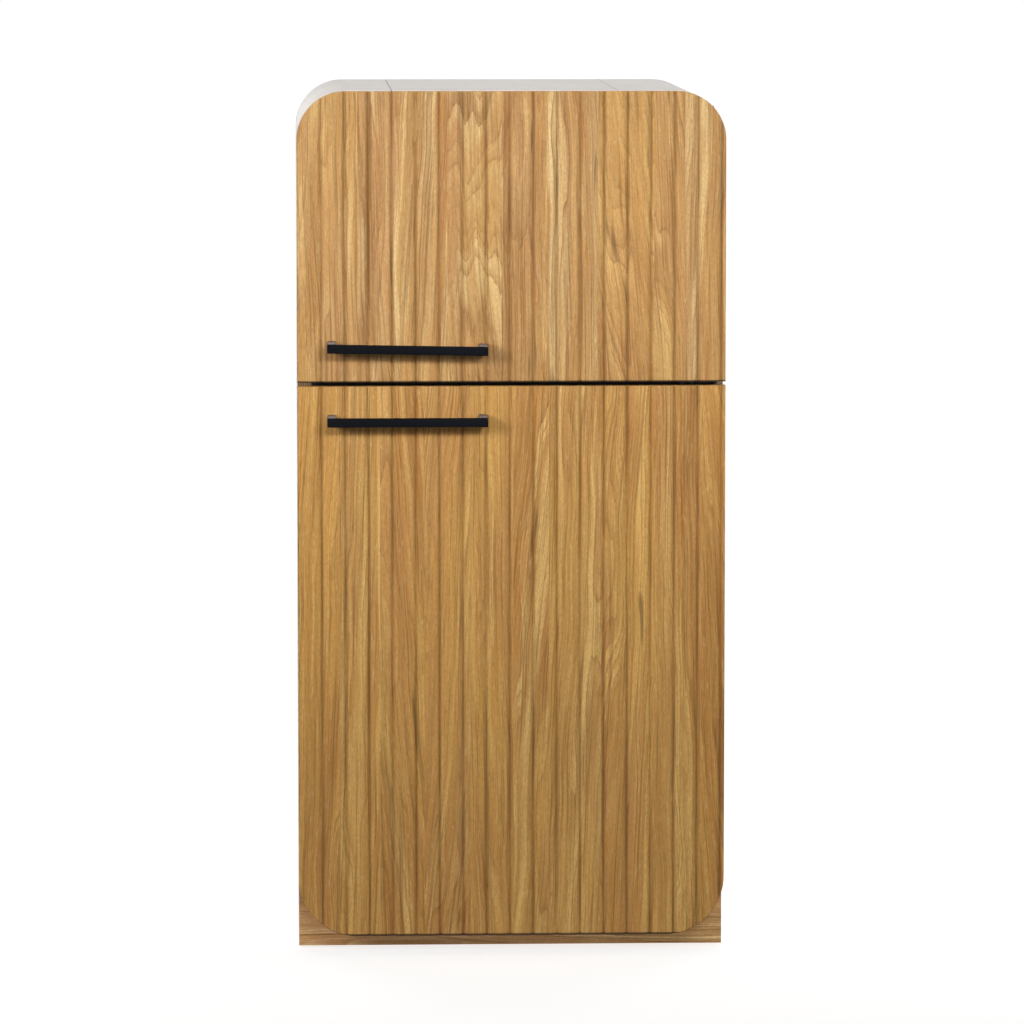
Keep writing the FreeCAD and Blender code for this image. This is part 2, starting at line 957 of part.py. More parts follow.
def control_box():
    """The thermostat and lamp housing on the fridge's right wall."""
    case = side_slab(
        "control_case",
        [
            (control_front, control_low, d.control_radius),
            (control_front + d.control_length, control_low, d.control_radius),
            (control_front + d.control_length, control_top, d.control_radius),
            (control_front, control_top, d.control_radius),
        ],
        control_x,
        cavity_half,
    )
    shaft_hole = rod("control_shaft_hole", "x", (knob_y, knob_z),
                     d.knob_shaft_radius + d.running_gap,
                     (control_x - d.overrun, control_x + d.knob_height))
    lamp_pocket = box(
        "control_lamp_pocket",
        (control_x - d.overrun, control_x + d.lens_depth),
        (lens_start, lens_start + d.lens_length),
        (control_low + d.control_radius, control_top - d.control_radius),
    )
    node(cut("control_housing", case, shaft_hole, lamp_pocket), "control_housing")
    lens_low = control_low + d.control_radius
    lens_high = control_top - d.control_radius
    bulge = d.lens_wall * 2
    lens = box(
        "lamp_lens_block",
        (control_x - bulge, control_x + d.lens_depth),
        (lens_start, lens_start + d.lens_length),
        (lens_low, lens_high),
    )
    hollow = box(
        "lamp_lens_hollow",
        (control_x - bulge + d.lens_wall, control_x + d.lens_depth + d.overrun),
        (lens_start + d.lens_wall, lens_start + d.lens_length - d.lens_wall),
        (lens_low + d.lens_wall, lens_high - d.lens_wall),
    )
    node(cut("lamp_lens", lens, hollow), "lamp_lens")
    middle = lens_start + d.lens_length / 2
    bulb_x = control_x + d.lens_depth - d.bulb_radius - d.lens_wall
    bulb = rod("bulb_tube", "y", (bulb_x, knob_z), d.bulb_radius,
               (middle - d.bulb_length / 2, middle + d.bulb_length / 2))
    holder = box(
        "bulb_holder",
        (bulb_x, control_x + d.lens_depth),
        (middle - d.bulb_length / 4, middle + d.bulb_length / 4),
        (knob_z - d.bulb_radius / 2, knob_z + d.bulb_radius / 2),
    )
    node(fuse("lamp_bulb", bulb, holder), "lamp_bulb")


def knob():
    """The temperature knob: a skirt, a raised grip bar, a pointer groove and a shaft."""
    face = control_x - d.knob_lift
    skirt = rod("knob_skirt", "x", (knob_y, knob_z), d.knob_radius,
                (face - d.knob_height / 3, face))
    grip = box(
        "knob_grip",
        (face - d.knob_height, face),
        (knob_y - d.knob_grip_width / 2, knob_y + d.knob_grip_width / 2),
        (knob_z - d.knob_radius + d.knob_mark_depth, knob_z + d.knob_radius - d.knob_mark_depth),
    )
    shaft = rod("knob_shaft", "x", (knob_y, knob_z), d.knob_shaft_radius,
                (face - d.knob_height / 3, control_x + d.knob_height - d.knob_mark_depth))
    mark = box(
        "knob_pointer",
        (face - d.knob_height - d.overrun, face - d.knob_height + d.knob_mark_depth),
        (knob_y - d.knob_mark_depth / 2, knob_y + d.knob_mark_depth / 2),
        (knob_z + d.knob_radius / 3, knob_z + d.knob_radius + d.overrun),
    )
    blank = fuse("knob_blank", skirt, grip, shaft)
    node(cut("thermostat_knob", blank, mark), "thermostat_knob")


switch_x = cavity_half - d.switch_size / 2
switch_height = fridge_top - d.switch_below_top
plunger_tip = core_back + d.gasket_gap


def door_switch():
    """The lamp switch on the right wall by the mouth, with its sprung plunger."""
    front = frame_back + d.plunger_travel
    case = box(
        "switch_case",
        (switch_x - d.switch_size / 2, cavity_half),
        (front, front + d.switch_length),
        (switch_height - d.switch_size / 2, switch_height + d.switch_size / 2),
    )
    bore = rod("switch_bore", "y", (switch_x, switch_height),
               d.plunger_radius + d.running_gap,
               (front - d.overrun, plunger_tip + d.plunger_length + d.lens_wall))
    node(cut("door_switch_housing", case, bore), "door_switch_housing")
    node(rod("door_switch_plunger", "y", (switch_x, switch_height), d.plunger_radius,
             (plunger_tip, plunger_tip + d.plunger_length)), "door_switch_plunger")


def open_bin(name, x, y, z, wall, radius_share):
    """A moulded tub, open on top, with rounded upright corners."""
    body = doc.addObject("PartDesign::Body", f"{name}_block")
    sketch = new_sketch(body, f"{name}_outline", "XY_Plane", as_size(z[0]))
    radius = wall * radius_share
    outline(sketch, [(x[0], y[0], radius), (x[1], y[0], radius), (x[1], y[1], radius),
                     (x[0], y[1], radius)])
    pad(body, sketch, f"{name}_pad", as_size(z[1]) - z[0])
    room = doc.addObject("PartDesign::Body", f"{name}_room")
    inner = new_sketch(room, f"{name}_room_outline", "XY_Plane", as_size(z[0]) + wall)
    inner_radius = radius - wall
    outline(inner, [(x[0] + wall, y[0] + wall, inner_radius), (x[1] - wall, y[0] + wall,
            inner_radius), (x[1] - wall, y[1] - wall, inner_radius),
            (x[0] + wall, y[1] - wall, inner_radius)])
    pad(room, inner, f"{name}_room_pad", as_size(z[1]) - z[0])
    return cut(f"{name}_tub", body, room)


def crisper():
    """The vegetable drawer on its runners, with a pull lip along its front's top edge."""
    half = cavity_half - d.crisper_side_gap
    top = crisper_low + d.crisper_height
    crisper_front = shelf_front - d.crisper_ahead
    crisper_back = hump_front - d.crisper_back_gap
    tub = open_bin("crisper", (-half, half), (crisper_front, crisper_back),
                   (crisper_low, top), d.crisper_wall, bin_corner_share)
    lip = box(
        "crisper_lip",
        (-half / 3, half / 3),
        (crisper_front - d.crisper_pull, crisper_front + d.crisper_wall / 2),
        (top - d.crisper_wall * 2, top - d.crisper_wall),
    )
    runners = [
        box(f"crisper_runner_{index}", (x - d.runner_width / 2, x + d.runner_width / 2),
            (crisper_front + d.crisper_wall * bin_corner_share,
             crisper_back - d.crisper_wall * bin_corner_share),
            (crisper_low - d.runner_height, crisper_low + d.crisper_wall / 2))
        for index, x in enumerate((-half * runner_share, half * runner_share))
    ]
    node(fuse("crisper_drawer", tub, lip, *runners), "crisper_drawer")


# machinery

def compressor():
    """The sealed compressor with its base strap, its rubber feet and its relay cover."""
    x, y = d.compressor_x, compressor_y
    seam = d.compressor_base + d.compressor_wall_height / 2
    wall_top = d.compressor_base + d.compressor_wall_height
    radius = d.compressor_radius
    pot = rod("compressor_pot", "z", (x, y), radius, (d.compressor_base, wall_top))
    flange = rod("compressor_flange", "z", (x, y), radius + d.compressor_seam,
                 (seam, seam + d.compressor_seam))
    dome = doc.addObject("Part::Ellipsoid", "compressor_dome")
    bind(dome, "Radius1", d.compressor_dome)
    bind(dome, "Radius2", radius)
    bind(dome, "Radius3", radius)
    dome.Angle1 = 0
    place(dome, x, y, wall_top)
    straps = [
        box(
            f"compressor_strap_{index}",
            (x - d.ear_length, x + d.ear_length),
            (y + offset - d.ear_width / 2, y + offset + d.ear_width / 2),
            (d.compressor_base - d.ear_thick, d.compressor_base),
        )
        for index, offset in enumerate((-radius / 2, radius / 2))
    ]
    node(fuse("compressor", pot, flange, dome, *straps), "compressor")
    grommets = []
    for x_index, ear_x in enumerate((x - d.ear_length + d.ear_width / 2,
                                     x + d.ear_length - d.ear_width / 2)):
        for y_index, ear_y in enumerate((y - radius / 2, y + radius / 2)):
            name = f"grommet_{x_index}_{y_index}"
            strap_low = d.compressor_base - d.ear_thick
            foot = rod(f"{name}_body", "z", (ear_x, ear_y), d.grommet_radius,
                       (pan_top, strap_low - d.ear_thick))
            neck = rod(f"{name}_neck", "z", (ear_x, ear_y), d.grommet_neck,
                       (pan_top, strap_low))
            grommets.append(fuse(name, foot, neck))
    node(group("compressor_grommets", grommets), "compressor_grommets")
    cover_low = d.compressor_base + d.ear_thick * 2
    cover = box(
        "relay_cover_block",
        (x + radius + d.compressor_seam + d.gasket_gap,
         x + radius + d.compressor_seam + d.relay_width),
        (y - d.relay_depth / 2, y + d.relay_depth / 2),
        (cover_low, cover_low + d.relay_height),
    )
    node(cover, "relay_cover")
    tray_low = wall_top + d.compressor_dome + d.gasket_gap
    tray = open_bin("tray", (x - d.tray_half_width, x + d.tray_half_width),
                    (y - d.tray_half_depth, y + d.tray_half_depth),
                    (tray_low, tray_low + d.tray_height), d.tray_wall, bin_corner_share)
    node(tray, "drip_tray")


pipe_y = foam_back + d.condenser_offset


def bent_pipe(points, radius, widest_bend):
    """A round pipe of straight runs joined by tangent bends, tighter where a run is short."""
    pieces = []
    last = points[0]
    length = 0
    for before, here, after in zip(points, points[1:], points[2:]):
        inward = (before - here).normalize()
        outward = (after - here).normalize()
        turn = math.pi - inward.getAngle(outward)
        shorter = min((before - here).Length, (after - here).Length)
        bend = min(widest_bend, shorter * bend_room_share / math.tan(turn / 2))
        start = here + inward * bend * math.tan(turn / 2)
        end = here + outward * bend * math.tan(turn / 2)
        pieces.append(Part.makeCylinder(radius, (start - last).Length, last, -inward))
        centre = here + (inward + outward).normalize() * (bend / math.cos(turn / 2))
        section = Part.Face(Part.Wire([Part.makeCircle(radius, start, inward)]))
        axis = inward.cross(outward) * -1
        pieces.append(section.revolve(centre, axis, math.degrees(turn)))
        length += (start - last).Length + bend * turn
        last = end
    pieces.append(Part.makeCylinder(radius, (points[-1] - last).Length, last, outward))
    length += (points[-1] - last).Length
    solid = pieces[0].multiFuse(pieces[1:])
    expected = math.pi * radius**2 * length
    print("pipe", round(length, 1), "volume share", round(solid.Volume / expected, 4),
          "solids", len(solid.Solids))
    return solid


def condenser():
    """The serpentine pipe behind the back panel, its wires and its four clips."""
    half = condenser_half.value
    pitch = condenser_pitch.value
    low = d.condenser_low.value
    runs = int(d.condenser_runs.value)
    y = pipe_y.value
    drier_top = (d.drier_low + d.drier_length + d.drier_radius).value
    points = [V(half, y, drier_top)]
    for run in range(runs):
        ends = (half, -half) if run % 2 == 0 else (-half, half)
        points += [V(x, y, low + pitch * run) for x in ends]
    points[-1].x = riser_x.value
    points.append(V(riser_x.value, y, entry_height.value))
    pipe = bent_pipe(points, d.pipe_radius.value, d.tube_bend.value)
    node(fixed_shape("condenser_tube", pipe), "condenser_tube")
    top = low + pitch * (runs - 1)
    radius = d.wire_radius.value
    stand = d.pipe_radius.value + radius - d.weld_bite.value / 2
    count = int(d.wire_count.value)
    first = -half + d.wire_end_room.value
    step = -first * 2 / (count - 1)
    wires = [
        Part.makeCylinder(
            radius,
            top - low + pitch / 2,
            V(first + step * index, y + stand * side, low - pitch / 4),
        )
        for side in (-1, 1)
        for index in range(count)
    ]
    node(fixed_shape("condenser_wires", Part.makeCompound(wires)), "condenser_wires")
    clips = []
    clip_x = condenser_half - d.tube_bend - d.clip_from_bend
    for run in (1, runs - 2):
        z = d.condenser_low + condenser_pitch * run
        for side, name in ((-1, "left"), (1, "right")):
            middle = clip_x * side
            block = box(
                f"clip_{name}_{run}_block",
                (middle - d.clip_width / 2, middle + d.clip_width / 2),
                (foam_back + d.sheet_steel, pipe_y + d.pipe_radius * 2),
                (z - d.clip_height / 2, z + d.clip_height / 2),
            )
            hole = rod(f"clip_{name}_{run}_hole", "x", (pipe_y, z), d.pipe_radius
                       + d.running_gap, (middle - d.clip_width, middle + d.clip_width))
            clips.append(cut(f"clip_{name}_{run}", block, hole))
    node(group("condenser_clips", clips), "condenser_clips")


def bay_pipes():
    """The filter drier, and the pipes that join the machinery to the condenser and the foam."""
    x, y = condenser_half, pipe_y
    drier = rod("drier_can", "z", (x, y), d.drier_radius, (d.drier_low, d.drier_low
                                                           + d.drier_length))
    nose = rod("drier_nose", "z", (x, y), d.drier_radius / 2,
               (d.drier_low - d.drier_radius, d.drier_low + d.drier_length + d.drier_radius))
    node(fuse("filter_drier", drier, nose), "filter_drier")
    tube_y = pipe_y.value
    entry = entry_height.value
    wall = (foam_back + d.sheet_steel).value
    pot_y = (compressor_y + d.compressor_radius + d.gasket_gap).value
    high = (d.compressor_base + d.compressor_wall_height * high_port_share).value
    low = (d.compressor_base + d.compressor_wall_height * low_port_share).value
    port_x = d.compressor_x.value
    left_x = riser_x.value
    suction_x = port_x + d.suction_x.value
    drier_foot = (d.drier_low - d.drier_radius).value
    loop = drier_foot - d.tube_bend.value
    capillary_x = (condenser_half - d.tube_bend * 2).value
    routes = (
        (d.pipe_radius.value, [V(port_x, pot_y, high), V(port_x, tube_y, high),
                               V(left_x, tube_y, high), V(left_x, tube_y, entry)]),
        (d.pipe_radius.value, [V(port_x, pot_y, low), V(port_x, tube_y, low),
                               V(suction_x, tube_y, low), V(suction_x, tube_y, entry),
                               V(suction_x, wall, entry)]),
        (d.capillary_radius.value, [V(x.value, tube_y, drier_foot), V(x.value, tube_y, loop),
                                    V(capillary_x, tube_y, loop), V(capillary_x, tube_y, entry),
                                    V(capillary_x, wall, entry)]),
    )
    pipes = [bent_pipe(points, radius, d.tube_bend.value / 2) for radius, points in routes]
    node(fixed_shape("refrigerant_pipes", Part.makeCompound(pipes)), "refrigerant_pipes")


def power_inlet():
    """The recessed mains inlet with three flat blades, on the rear lip of the pan."""
    half = d.inlet_width / 2
    low = d.inlet_low
    back = half_depth - d.sheet_steel * 2
    case = box(
        "inlet_case",
        (inlet_x - half, inlet_x + half),
        (back - d.inlet_depth, back),
        (pan_top, low + d.inlet_height),
    )
    room = box(
        "inlet_room",
        (inlet_x - half + d.inlet_wall, inlet_x + half - d.inlet_wall),
        (back - d.inlet_depth + d.inlet_wall, back + d.overrun),
        (low, low + d.inlet_height - d.inlet_wall),
    )
    socket = cut("inlet_socket", case, room)
    middle = low + (d.inlet_height - d.inlet_wall) / 2
    blades = [
        box(
            f"inlet_blade_{index}",
            (inlet_x + x - d.inlet_pin_width / 2, inlet_x + x + d.inlet_pin_width / 2),
            (back - d.inlet_depth + d.inlet_wall / 2, back - d.inlet_depth + d.inlet_pin_length),
            (middle + z - d.inlet_pin_height / 2, middle + z + d.inlet_pin_height / 2),
        )
        for index, (x, z) in enumerate((
            (-d.inlet_pin_spacing, -d.inlet_pin_height / 2),
            (ZERO, d.inlet_pin_height / 2),
            (d.inlet_pin_spacing, -d.inlet_pin_height / 2),
        ))
    ]
    node(fuse("power_inlet", socket, *blades), "power_inlet")


# hinges

top_plate_low = upper_core_top + d.bracket_gap
middle_plate_low = (lower_door_top + upper_door_start) / 2 - d.bracket_thick / 2
bottom_plate_high = lower_core_start - d.bracket_gap


def hinge_screw_places(which):
    """The heights and sideways places of one bracket's two screws."""
    heights = {
        "top": top_plate_low + (d.bracket_leg + d.bracket_thick) / 2,
        "middle": middle_plate_low + d.bracket_thick / 2,
        "bottom": bottom_plate_high - (d.bracket_leg + d.bracket_thick) / 2,
    }
    room = d.bracket_length - d.plate_length
    right = hinge_x - d.plate_length
    return [(right - room * share, heights[which]) for share in bracket_screw_shares]


def hinge_screw_holes(owner, which):
    """Round cutters for one bracket's screws."""
    return [
        rod(f"{owner}_{which}_screw_hole_{index}", "y", (x, z), d.hinge_screw_radius,
            (body_front - d.leg_thick - d.overrun, body_front + d.hinge_screw_length))
        for index, (x, z) in enumerate(hinge_screw_places(which))
    ]


def bracket(which):
    """A hinge bracket: a plate with a rounded eye and a riveted pin, and a screwed leg."""
    plate_low = {
        "top": top_plate_low,
        "middle": middle_plate_low,
        "bottom": bottom_plate_high - d.bracket_thick,
    }[which]
    plate_high = plate_low + d.bracket_thick
    leg_low, leg_high = {
        "top": (plate_low, plate_high + d.bracket_leg),
        "middle": (plate_low - d.bracket_gap, plate_high + d.bracket_gap),
        "bottom": (plate_low - d.bracket_leg, plate_high),
    }[which]
    pin_low, pin_high = {
        "top": (plate_low - d.bush_length, plate_low),
        "middle": (plate_low - d.bush_length, plate_high + d.bush_length),
        "bottom": (plate_high, plate_high + d.bush_length),
    }[which]
    plate = box(f"{which}_plate", (hinge_x - d.plate_length, hinge_x),
                (hinge_y, body_front), (plate_low, plate_high))
    eye = rod(f"{which}_eye", "z", (hinge_x, hinge_y), d.bush_radius, (plate_low, plate_high))
    leg = box(f"{which}_leg", (hinge_x - d.bracket_length, hinge_x),
              (body_front - d.leg_thick, body_front), (leg_low, leg_high))
    pin = rod(f"{which}_pin", "z", (hinge_x, hinge_y), d.pin_radius, (pin_low, pin_high))
    blank = fuse(f"{which}_bracket_blank", plate, eye, leg, pin)
    name = f"{which}_hinge_bracket"
    node(cut(name, blank, *hinge_screw_holes(f"{which}_bracket", which)), name)


def hinge_screws():
    """The six screws of the three brackets."""
    screws = []
    for which in ("top", "middle", "bottom"):
        for index, (x, z) in enumerate(hinge_screw_places(which)):
            name = f"{which}_screw_{index}"
            front = body_front - d.leg_thick
            shank = rod(f"{name}_shank", "y", (x, z), d.hinge_screw_radius,
                        (front - d.hinge_screw_head_thick / 2, body_front + d.hinge_screw_length))
            head = rod(f"{name}_head", "y", (x, z), d.hinge_screw_head,
                       (front - d.hinge_screw_head_thick, front))
            screws.append(fuse(name, shank, head))
    node(group("hinge_screws", screws), "hinge_screws")


# doors

def flute_sketch(body, name):
    """The cross-section of the first flute: a round cove with eased shoulders."""
    sketch = new_sketch(body, name, "XY_Plane")
    x = (-half_width + d.flute_first).value
    face = panel_front.value
    half = d.flute_half_width.value
    depth = d.flute_depth.value
    cove = (half**2 - depth**2) / (2 * depth)
    slope = math.atan2(cove, half)

    def arc(centre_x, centre_y, radius, start, end):
        circle = Part.Circle(V(centre_x, centre_y, 0), V(0, 0, 1), radius)
        return sketch.addGeometry(Part.ArcOfCircle(circle, start, end), False)

    shoulder_y = face + depth
    shoulder_left = arc(x - half, shoulder_y, depth, -math.pi / 2, -slope)
    bottom = arc(x, shoulder_y - cove, cove, slope, math.pi - slope)
    shoulder_right = arc(x + half, shoulder_y, depth, math.pi + slope, math.pi * 3 / 2)
    closing = sketch.addGeometry(
        Part.LineSegment(V(x + half, face, 0), V(x - half, face, 0)), False)
    at_start, at_end, at_centre = 1, 2, 3
    joins = (
        ("Tangent", shoulder_left, at_end, bottom, at_end),
        ("Tangent", shoulder_right, at_start, bottom, at_start),
        ("Coincident", shoulder_left, at_start, closing, at_end),
        ("Coincident", shoulder_right, at_end, closing, at_start),
        ("Vertical", shoulder_left, at_centre, shoulder_left, at_start),
        ("Vertical", shoulder_right, at_centre, shoulder_right, at_end),
    )
    for join in joins:
        sketch.addConstraint(Sketcher.Constraint(*join))
    for shoulder in (shoulder_left, shoulder_right):
        constrain(sketch, "Radius", (shoulder,), d.flute_depth)
    sketch.addConstraint(Sketcher.Constraint("Horizontal", closing))
    constrain(sketch, "Radius", (bottom,), (d.flute_half_width * d.flute_half_width
              - d.flute_depth * d.flute_depth) / (d.flute_depth * 2))
    constrain(sketch, "DistanceY", (-1, 1, closing, 1), panel_front)
    constrain(sketch, "DistanceX", (-1, 1, closing, 1),
              -half_width + d.flute_first + d.flute_half_width)
    constrain(sketch, "DistanceX", (-1, 1, closing, 2),
              -half_width + d.flute_first - d.flute_half_width)
    return sketch


def door_front(name, low, high, low_radius, high_radius, post_z):
    """A fluted oak panel with two rounded outer corners, drilled for its handle."""
    body = slab(f"{name}_panel", frame_corners(half_width, low, high, low_radius, high_radius),
                panel_front, panel_back)
    flute = body.newObject("PartDesign::Pocket", f"{name}_flute")
    flute.Profile = flute_sketch(body, f"{name}_flute_outline")
    flute.Type = "ThroughAll"
    flute.SideType = "Symmetric"
    flutes = body.newObject("PartDesign::LinearPattern", f"{name}_flutes")
    flutes.Originals = [flute]
    flutes.Direction = (origin_feature(body, "X_Axis"), [""])
    count = int((d.cab_width - d.flute_first).value // d.flute_pitch.value) + 1
    flutes.Occurrences = count
    bind(flutes, "Length", d.flute_pitch * (count - 1))
    body.Tip = flutes
    cutters = []
    for index, (x, z) in enumerate(post_places(post_z)):
        cutters.append(rod(f"{name}_screw_hole_{index}", "y", (x, z), d.screw_radius,
                           (panel_front - d.overrun, panel_back + d.overrun)))
        cutters.append(rod(f"{name}_counterbore_{index}", "y", (x, z), d.screw_head_radius,
                           (panel_back - d.screw_head_thick, panel_back + d.overrun)))
    node(cut(name, body, *cutters), name)


def post_places(heights):
    """The two handle posts' places, from left to right."""
    left = -half_width + d.handle_centre - d.handle_holes / 2
    return list(zip((left, left + d.handle_holes), heights))


def handle(name, heights):
    """A square bar on two posts, and the screws that hold it through the panel."""
    (left_x, left_z), (right_x, right_z) = post_places(heights)
    bar_front = panel_front - d.handle_reach
    half_bar = d.handle_bar / 2
    body = doc.addObject("PartDesign::Body", f"{name}_bar")
    sketch = new_sketch(body, f"{name}_bar_outline", "XZ_Plane",
                        -(bar_front + d.handle_bar))
    reach = d.post_width / 2
    half_length = d.handle_holes / 2 + reach
    outline(sketch, frame_corners(half_length, -half_bar, half_bar))
    bar_pad = pad(body, sketch, f"{name}_bar_pad", d.handle_bar)
    doc.recompute()
    easing = body.newObject("PartDesign::Chamfer", f"{name}_bar_easing")
    easing.Base = (bar_pad, [f"Edge{index + 1}" for index in range(len(bar_pad.Shape.Edges))])
    bind(easing, "Size", d.edge_easing)
    body.Tip = easing
    fall = left_z - right_z
    bind(body, "Placement.Base.x", (left_x + right_x) / 2)
    bind(body, "Placement.Base.z", (left_z + right_z) / 2)
    body.Placement.Rotation = FreeCAD.Rotation(V(0, 1, 0), 0)
    body.setExpression("Placement.Rotation.Angle",
                       f"atan(({fall.text}) / ({d.handle_holes.text}))")
    posts, screws = [], []
    for index, (x, z) in enumerate(((left_x, left_z), (right_x, right_z))):
        post = box(f"{name}_post_{index}", (x - reach, x + reach),
                   (bar_front + d.handle_bar - d.edge_easing, panel_front),
                   (z - half_bar + d.edge_easing, z + half_bar + d.post_rise))
        posts.append(post)
        shank = rod(f"{name}_shank_{index}", "y", (x, z), d.screw_radius,
                    (panel_front - d.screw_bite, panel_back - d.screw_head_thick))
        head = rod(f"{name}_head_{index}", "y", (x, z), d.screw_head_radius,
                   (panel_back - d.screw_head_thick, panel_back - d.gasket_gap))
        screws.append(fuse(f"{name}_screw_{index}", shank, head))
    blank = fuse(f"{name}_blank", body, *posts)
    bores = [
        rod(f"{name}_tapped_hole_{index}", "y", (x, z), d.screw_radius,
            (panel_front - d.screw_bite, panel_front + d.overrun))
        for index, (x, z) in enumerate(((left_x, left_z), (right_x, right_z)))
    ]
    node(cut(name, blank, *bores), name)
    node(group(f"{name}_screws", screws), f"{name}_screws")


def door_core(name, low, high):
    """The insulated slab behind a front, bored for its two hinge bushes."""
    slab_box = box(f"{name}_slab", (-core_half, core_half), (panel_back, core_back), (low, high))
    bores = [
        rod(f"{name}_bore_{index}", "z", (hinge_x, hinge_y), d.bush_radius, ends)
        for index, ends in enumerate((
            (low - d.overrun, low + d.bush_length),
            (high - d.bush_length, high + d.overrun),
        ))
    ]
    node(cut(name, slab_box, *bores), name)


def hinge_bushes(name, low, high):
    """Two flanged plastic bushes that turn on the brackets' pins."""
    bushes = []
    for index, (start, end, lip_low, lip_high) in enumerate((
        (low, low + d.bush_length, low - d.bush_flange, low),
        (high - d.bush_length, high, high, high + d.bush_flange),
    )):
        sleeve = rod(f"{name}_sleeve_{index}", "z", (hinge_x, hinge_y), d.bush_radius,
                     (start, end))
        lip = rod(f"{name}_lip_{index}", "z", (hinge_x, hinge_y), d.bush_radius,
                  (lip_low, lip_high))
        bore = rod(f"{name}_bore_{index}", "z", (hinge_x, hinge_y),
                   d.pin_radius + d.running_gap,
                   (lip_low - d.overrun if index == 0 else start - d.overrun,
                    lip_high + d.overrun if index else end + d.overrun))
        bushes.append(cut(f"{name}_bush_{index}", fuse(f"{name}_blank_{index}", sleeve, lip), bore))
    node(group(name, bushes), name)


def ring(name, half, low, high, width, front, back):
    """A rectangular ring of one width, between two places in Y."""
    outer = box(f"{name}_outer", (-half, half), (front, back), (low, high))
    inner = box(f"{name}_inner", (-half + width, half - width),
                (front - d.overrun, back + d.overrun), (low + width, high - width))
    return cut(name, outer, inner)


def gasket(name, low, high):
    """A door seal: a flat base strip with a narrower bulb that meets the frame."""
    half = half_width - d.gasket_inset - d.core_side_inset
    bottom = low + d.core_side_inset / 2
    top = high - d.core_side_inset / 2
    base = ring(f"{name}_base", half, bottom, top, d.gasket_width, core_back,
                core_back + d.gasket_base_thick)
    inset = (d.gasket_width - d.gasket_bulb_width) / 2
    bulb = ring(f"{name}_bulb", half - inset, bottom + inset, top - inset, d.gasket_bulb_width,
                core_back + d.gasket_base_thick / 2, body_front - d.gasket_gap)
    node(fuse(name, base, bulb), name)


def door_liner(name, low, high, *cutters):
    """The moulded inner face of a door: a flat pan with two upright dykes for the bins."""
    face = core_back + d.door_liner_thick
    pan = slab(f"{name}_pan", frame_corners(door_liner_half, low, high, d.cavity_radius,
                                            d.cavity_radius), core_back, face)
    dykes = [
        box(f"{name}_dyke_{index}", x, (core_back, face + d.dyke_reach),
            (low + d.cavity_radius, high - d.cavity_radius))
        for index, x in enumerate((
            (-door_liner_half, -door_liner_half + d.dyke_width),
            (door_liner_half - d.dyke_width, door_liner_half),
        ))
    ]
    made = fuse(f"{name}_blank" if cutters else name, pan, *dykes)
    node(cut(name, made, *cutters) if cutters else made, name)


bin_inner_half = door_liner_half - d.dyke_width - d.bin_gap
bin_front = core_back + d.door_liner_thick
bin_back = bin_front + d.bin_reach


def door_bin(name, low, height):
    """A tub that hangs between a door liner's dykes."""
    tub = open_bin(name, (-bin_inner_half, bin_inner_half), (bin_front + d.bin_gap, bin_back),
                   (low, low + height), d.bin_wall, bin_corner_share)
    node(tub, name)


lid_axis_y = bin_front + d.bin_gap + d.lid_pin_radius + d.lid_gap
lid_axis_z = dairy_bin_low + d.dairy_bin_height + d.lid_pin_radius + d.lid_gap


def dairy_lid():
    """The clear lid over the dairy bin, with two ears that turn on pins in the dykes."""
    half = bin_inner_half - d.bin_gap
    top = box("lid_top", (-half, half), (lid_axis_y, bin_back),
              (lid_axis_z, lid_axis_z + d.lid_thick))
    front = box("lid_front", (-half, half), (bin_back + d.lid_gap, bin_back + d.lid_gap
                                             + d.lid_thick),
                (lid_axis_z - d.lid_drop, lid_axis_z + d.lid_thick))
    bridge = box("lid_bridge", (-half, half), (bin_back - d.lid_thick, bin_back + d.lid_gap
                                               + d.lid_thick),
                 (lid_axis_z, lid_axis_z + d.lid_thick))
    barrel = rod("lid_barrel", "x", (lid_axis_y, lid_axis_z), d.lid_pin_radius, (-half, half))
    pins = rod("lid_pins", "x", (lid_axis_y, lid_axis_z), d.lid_pin_radius - d.lid_thick / 2,
               (-half - d.lid_ear, half + d.lid_ear))
    node(fuse("dairy_lid", top, front, bridge, barrel, pins), "dairy_lid")


def lid_holes():
    """The pin holes that the dairy lid turns in."""
    half = bin_inner_half + d.lid_ear + d.lid_gap
    return rod("lid_pin_hole", "x", (lid_axis_y, lid_axis_z),
               d.lid_pin_radius - d.lid_thick / 2 + d.running_gap, (-half, half))


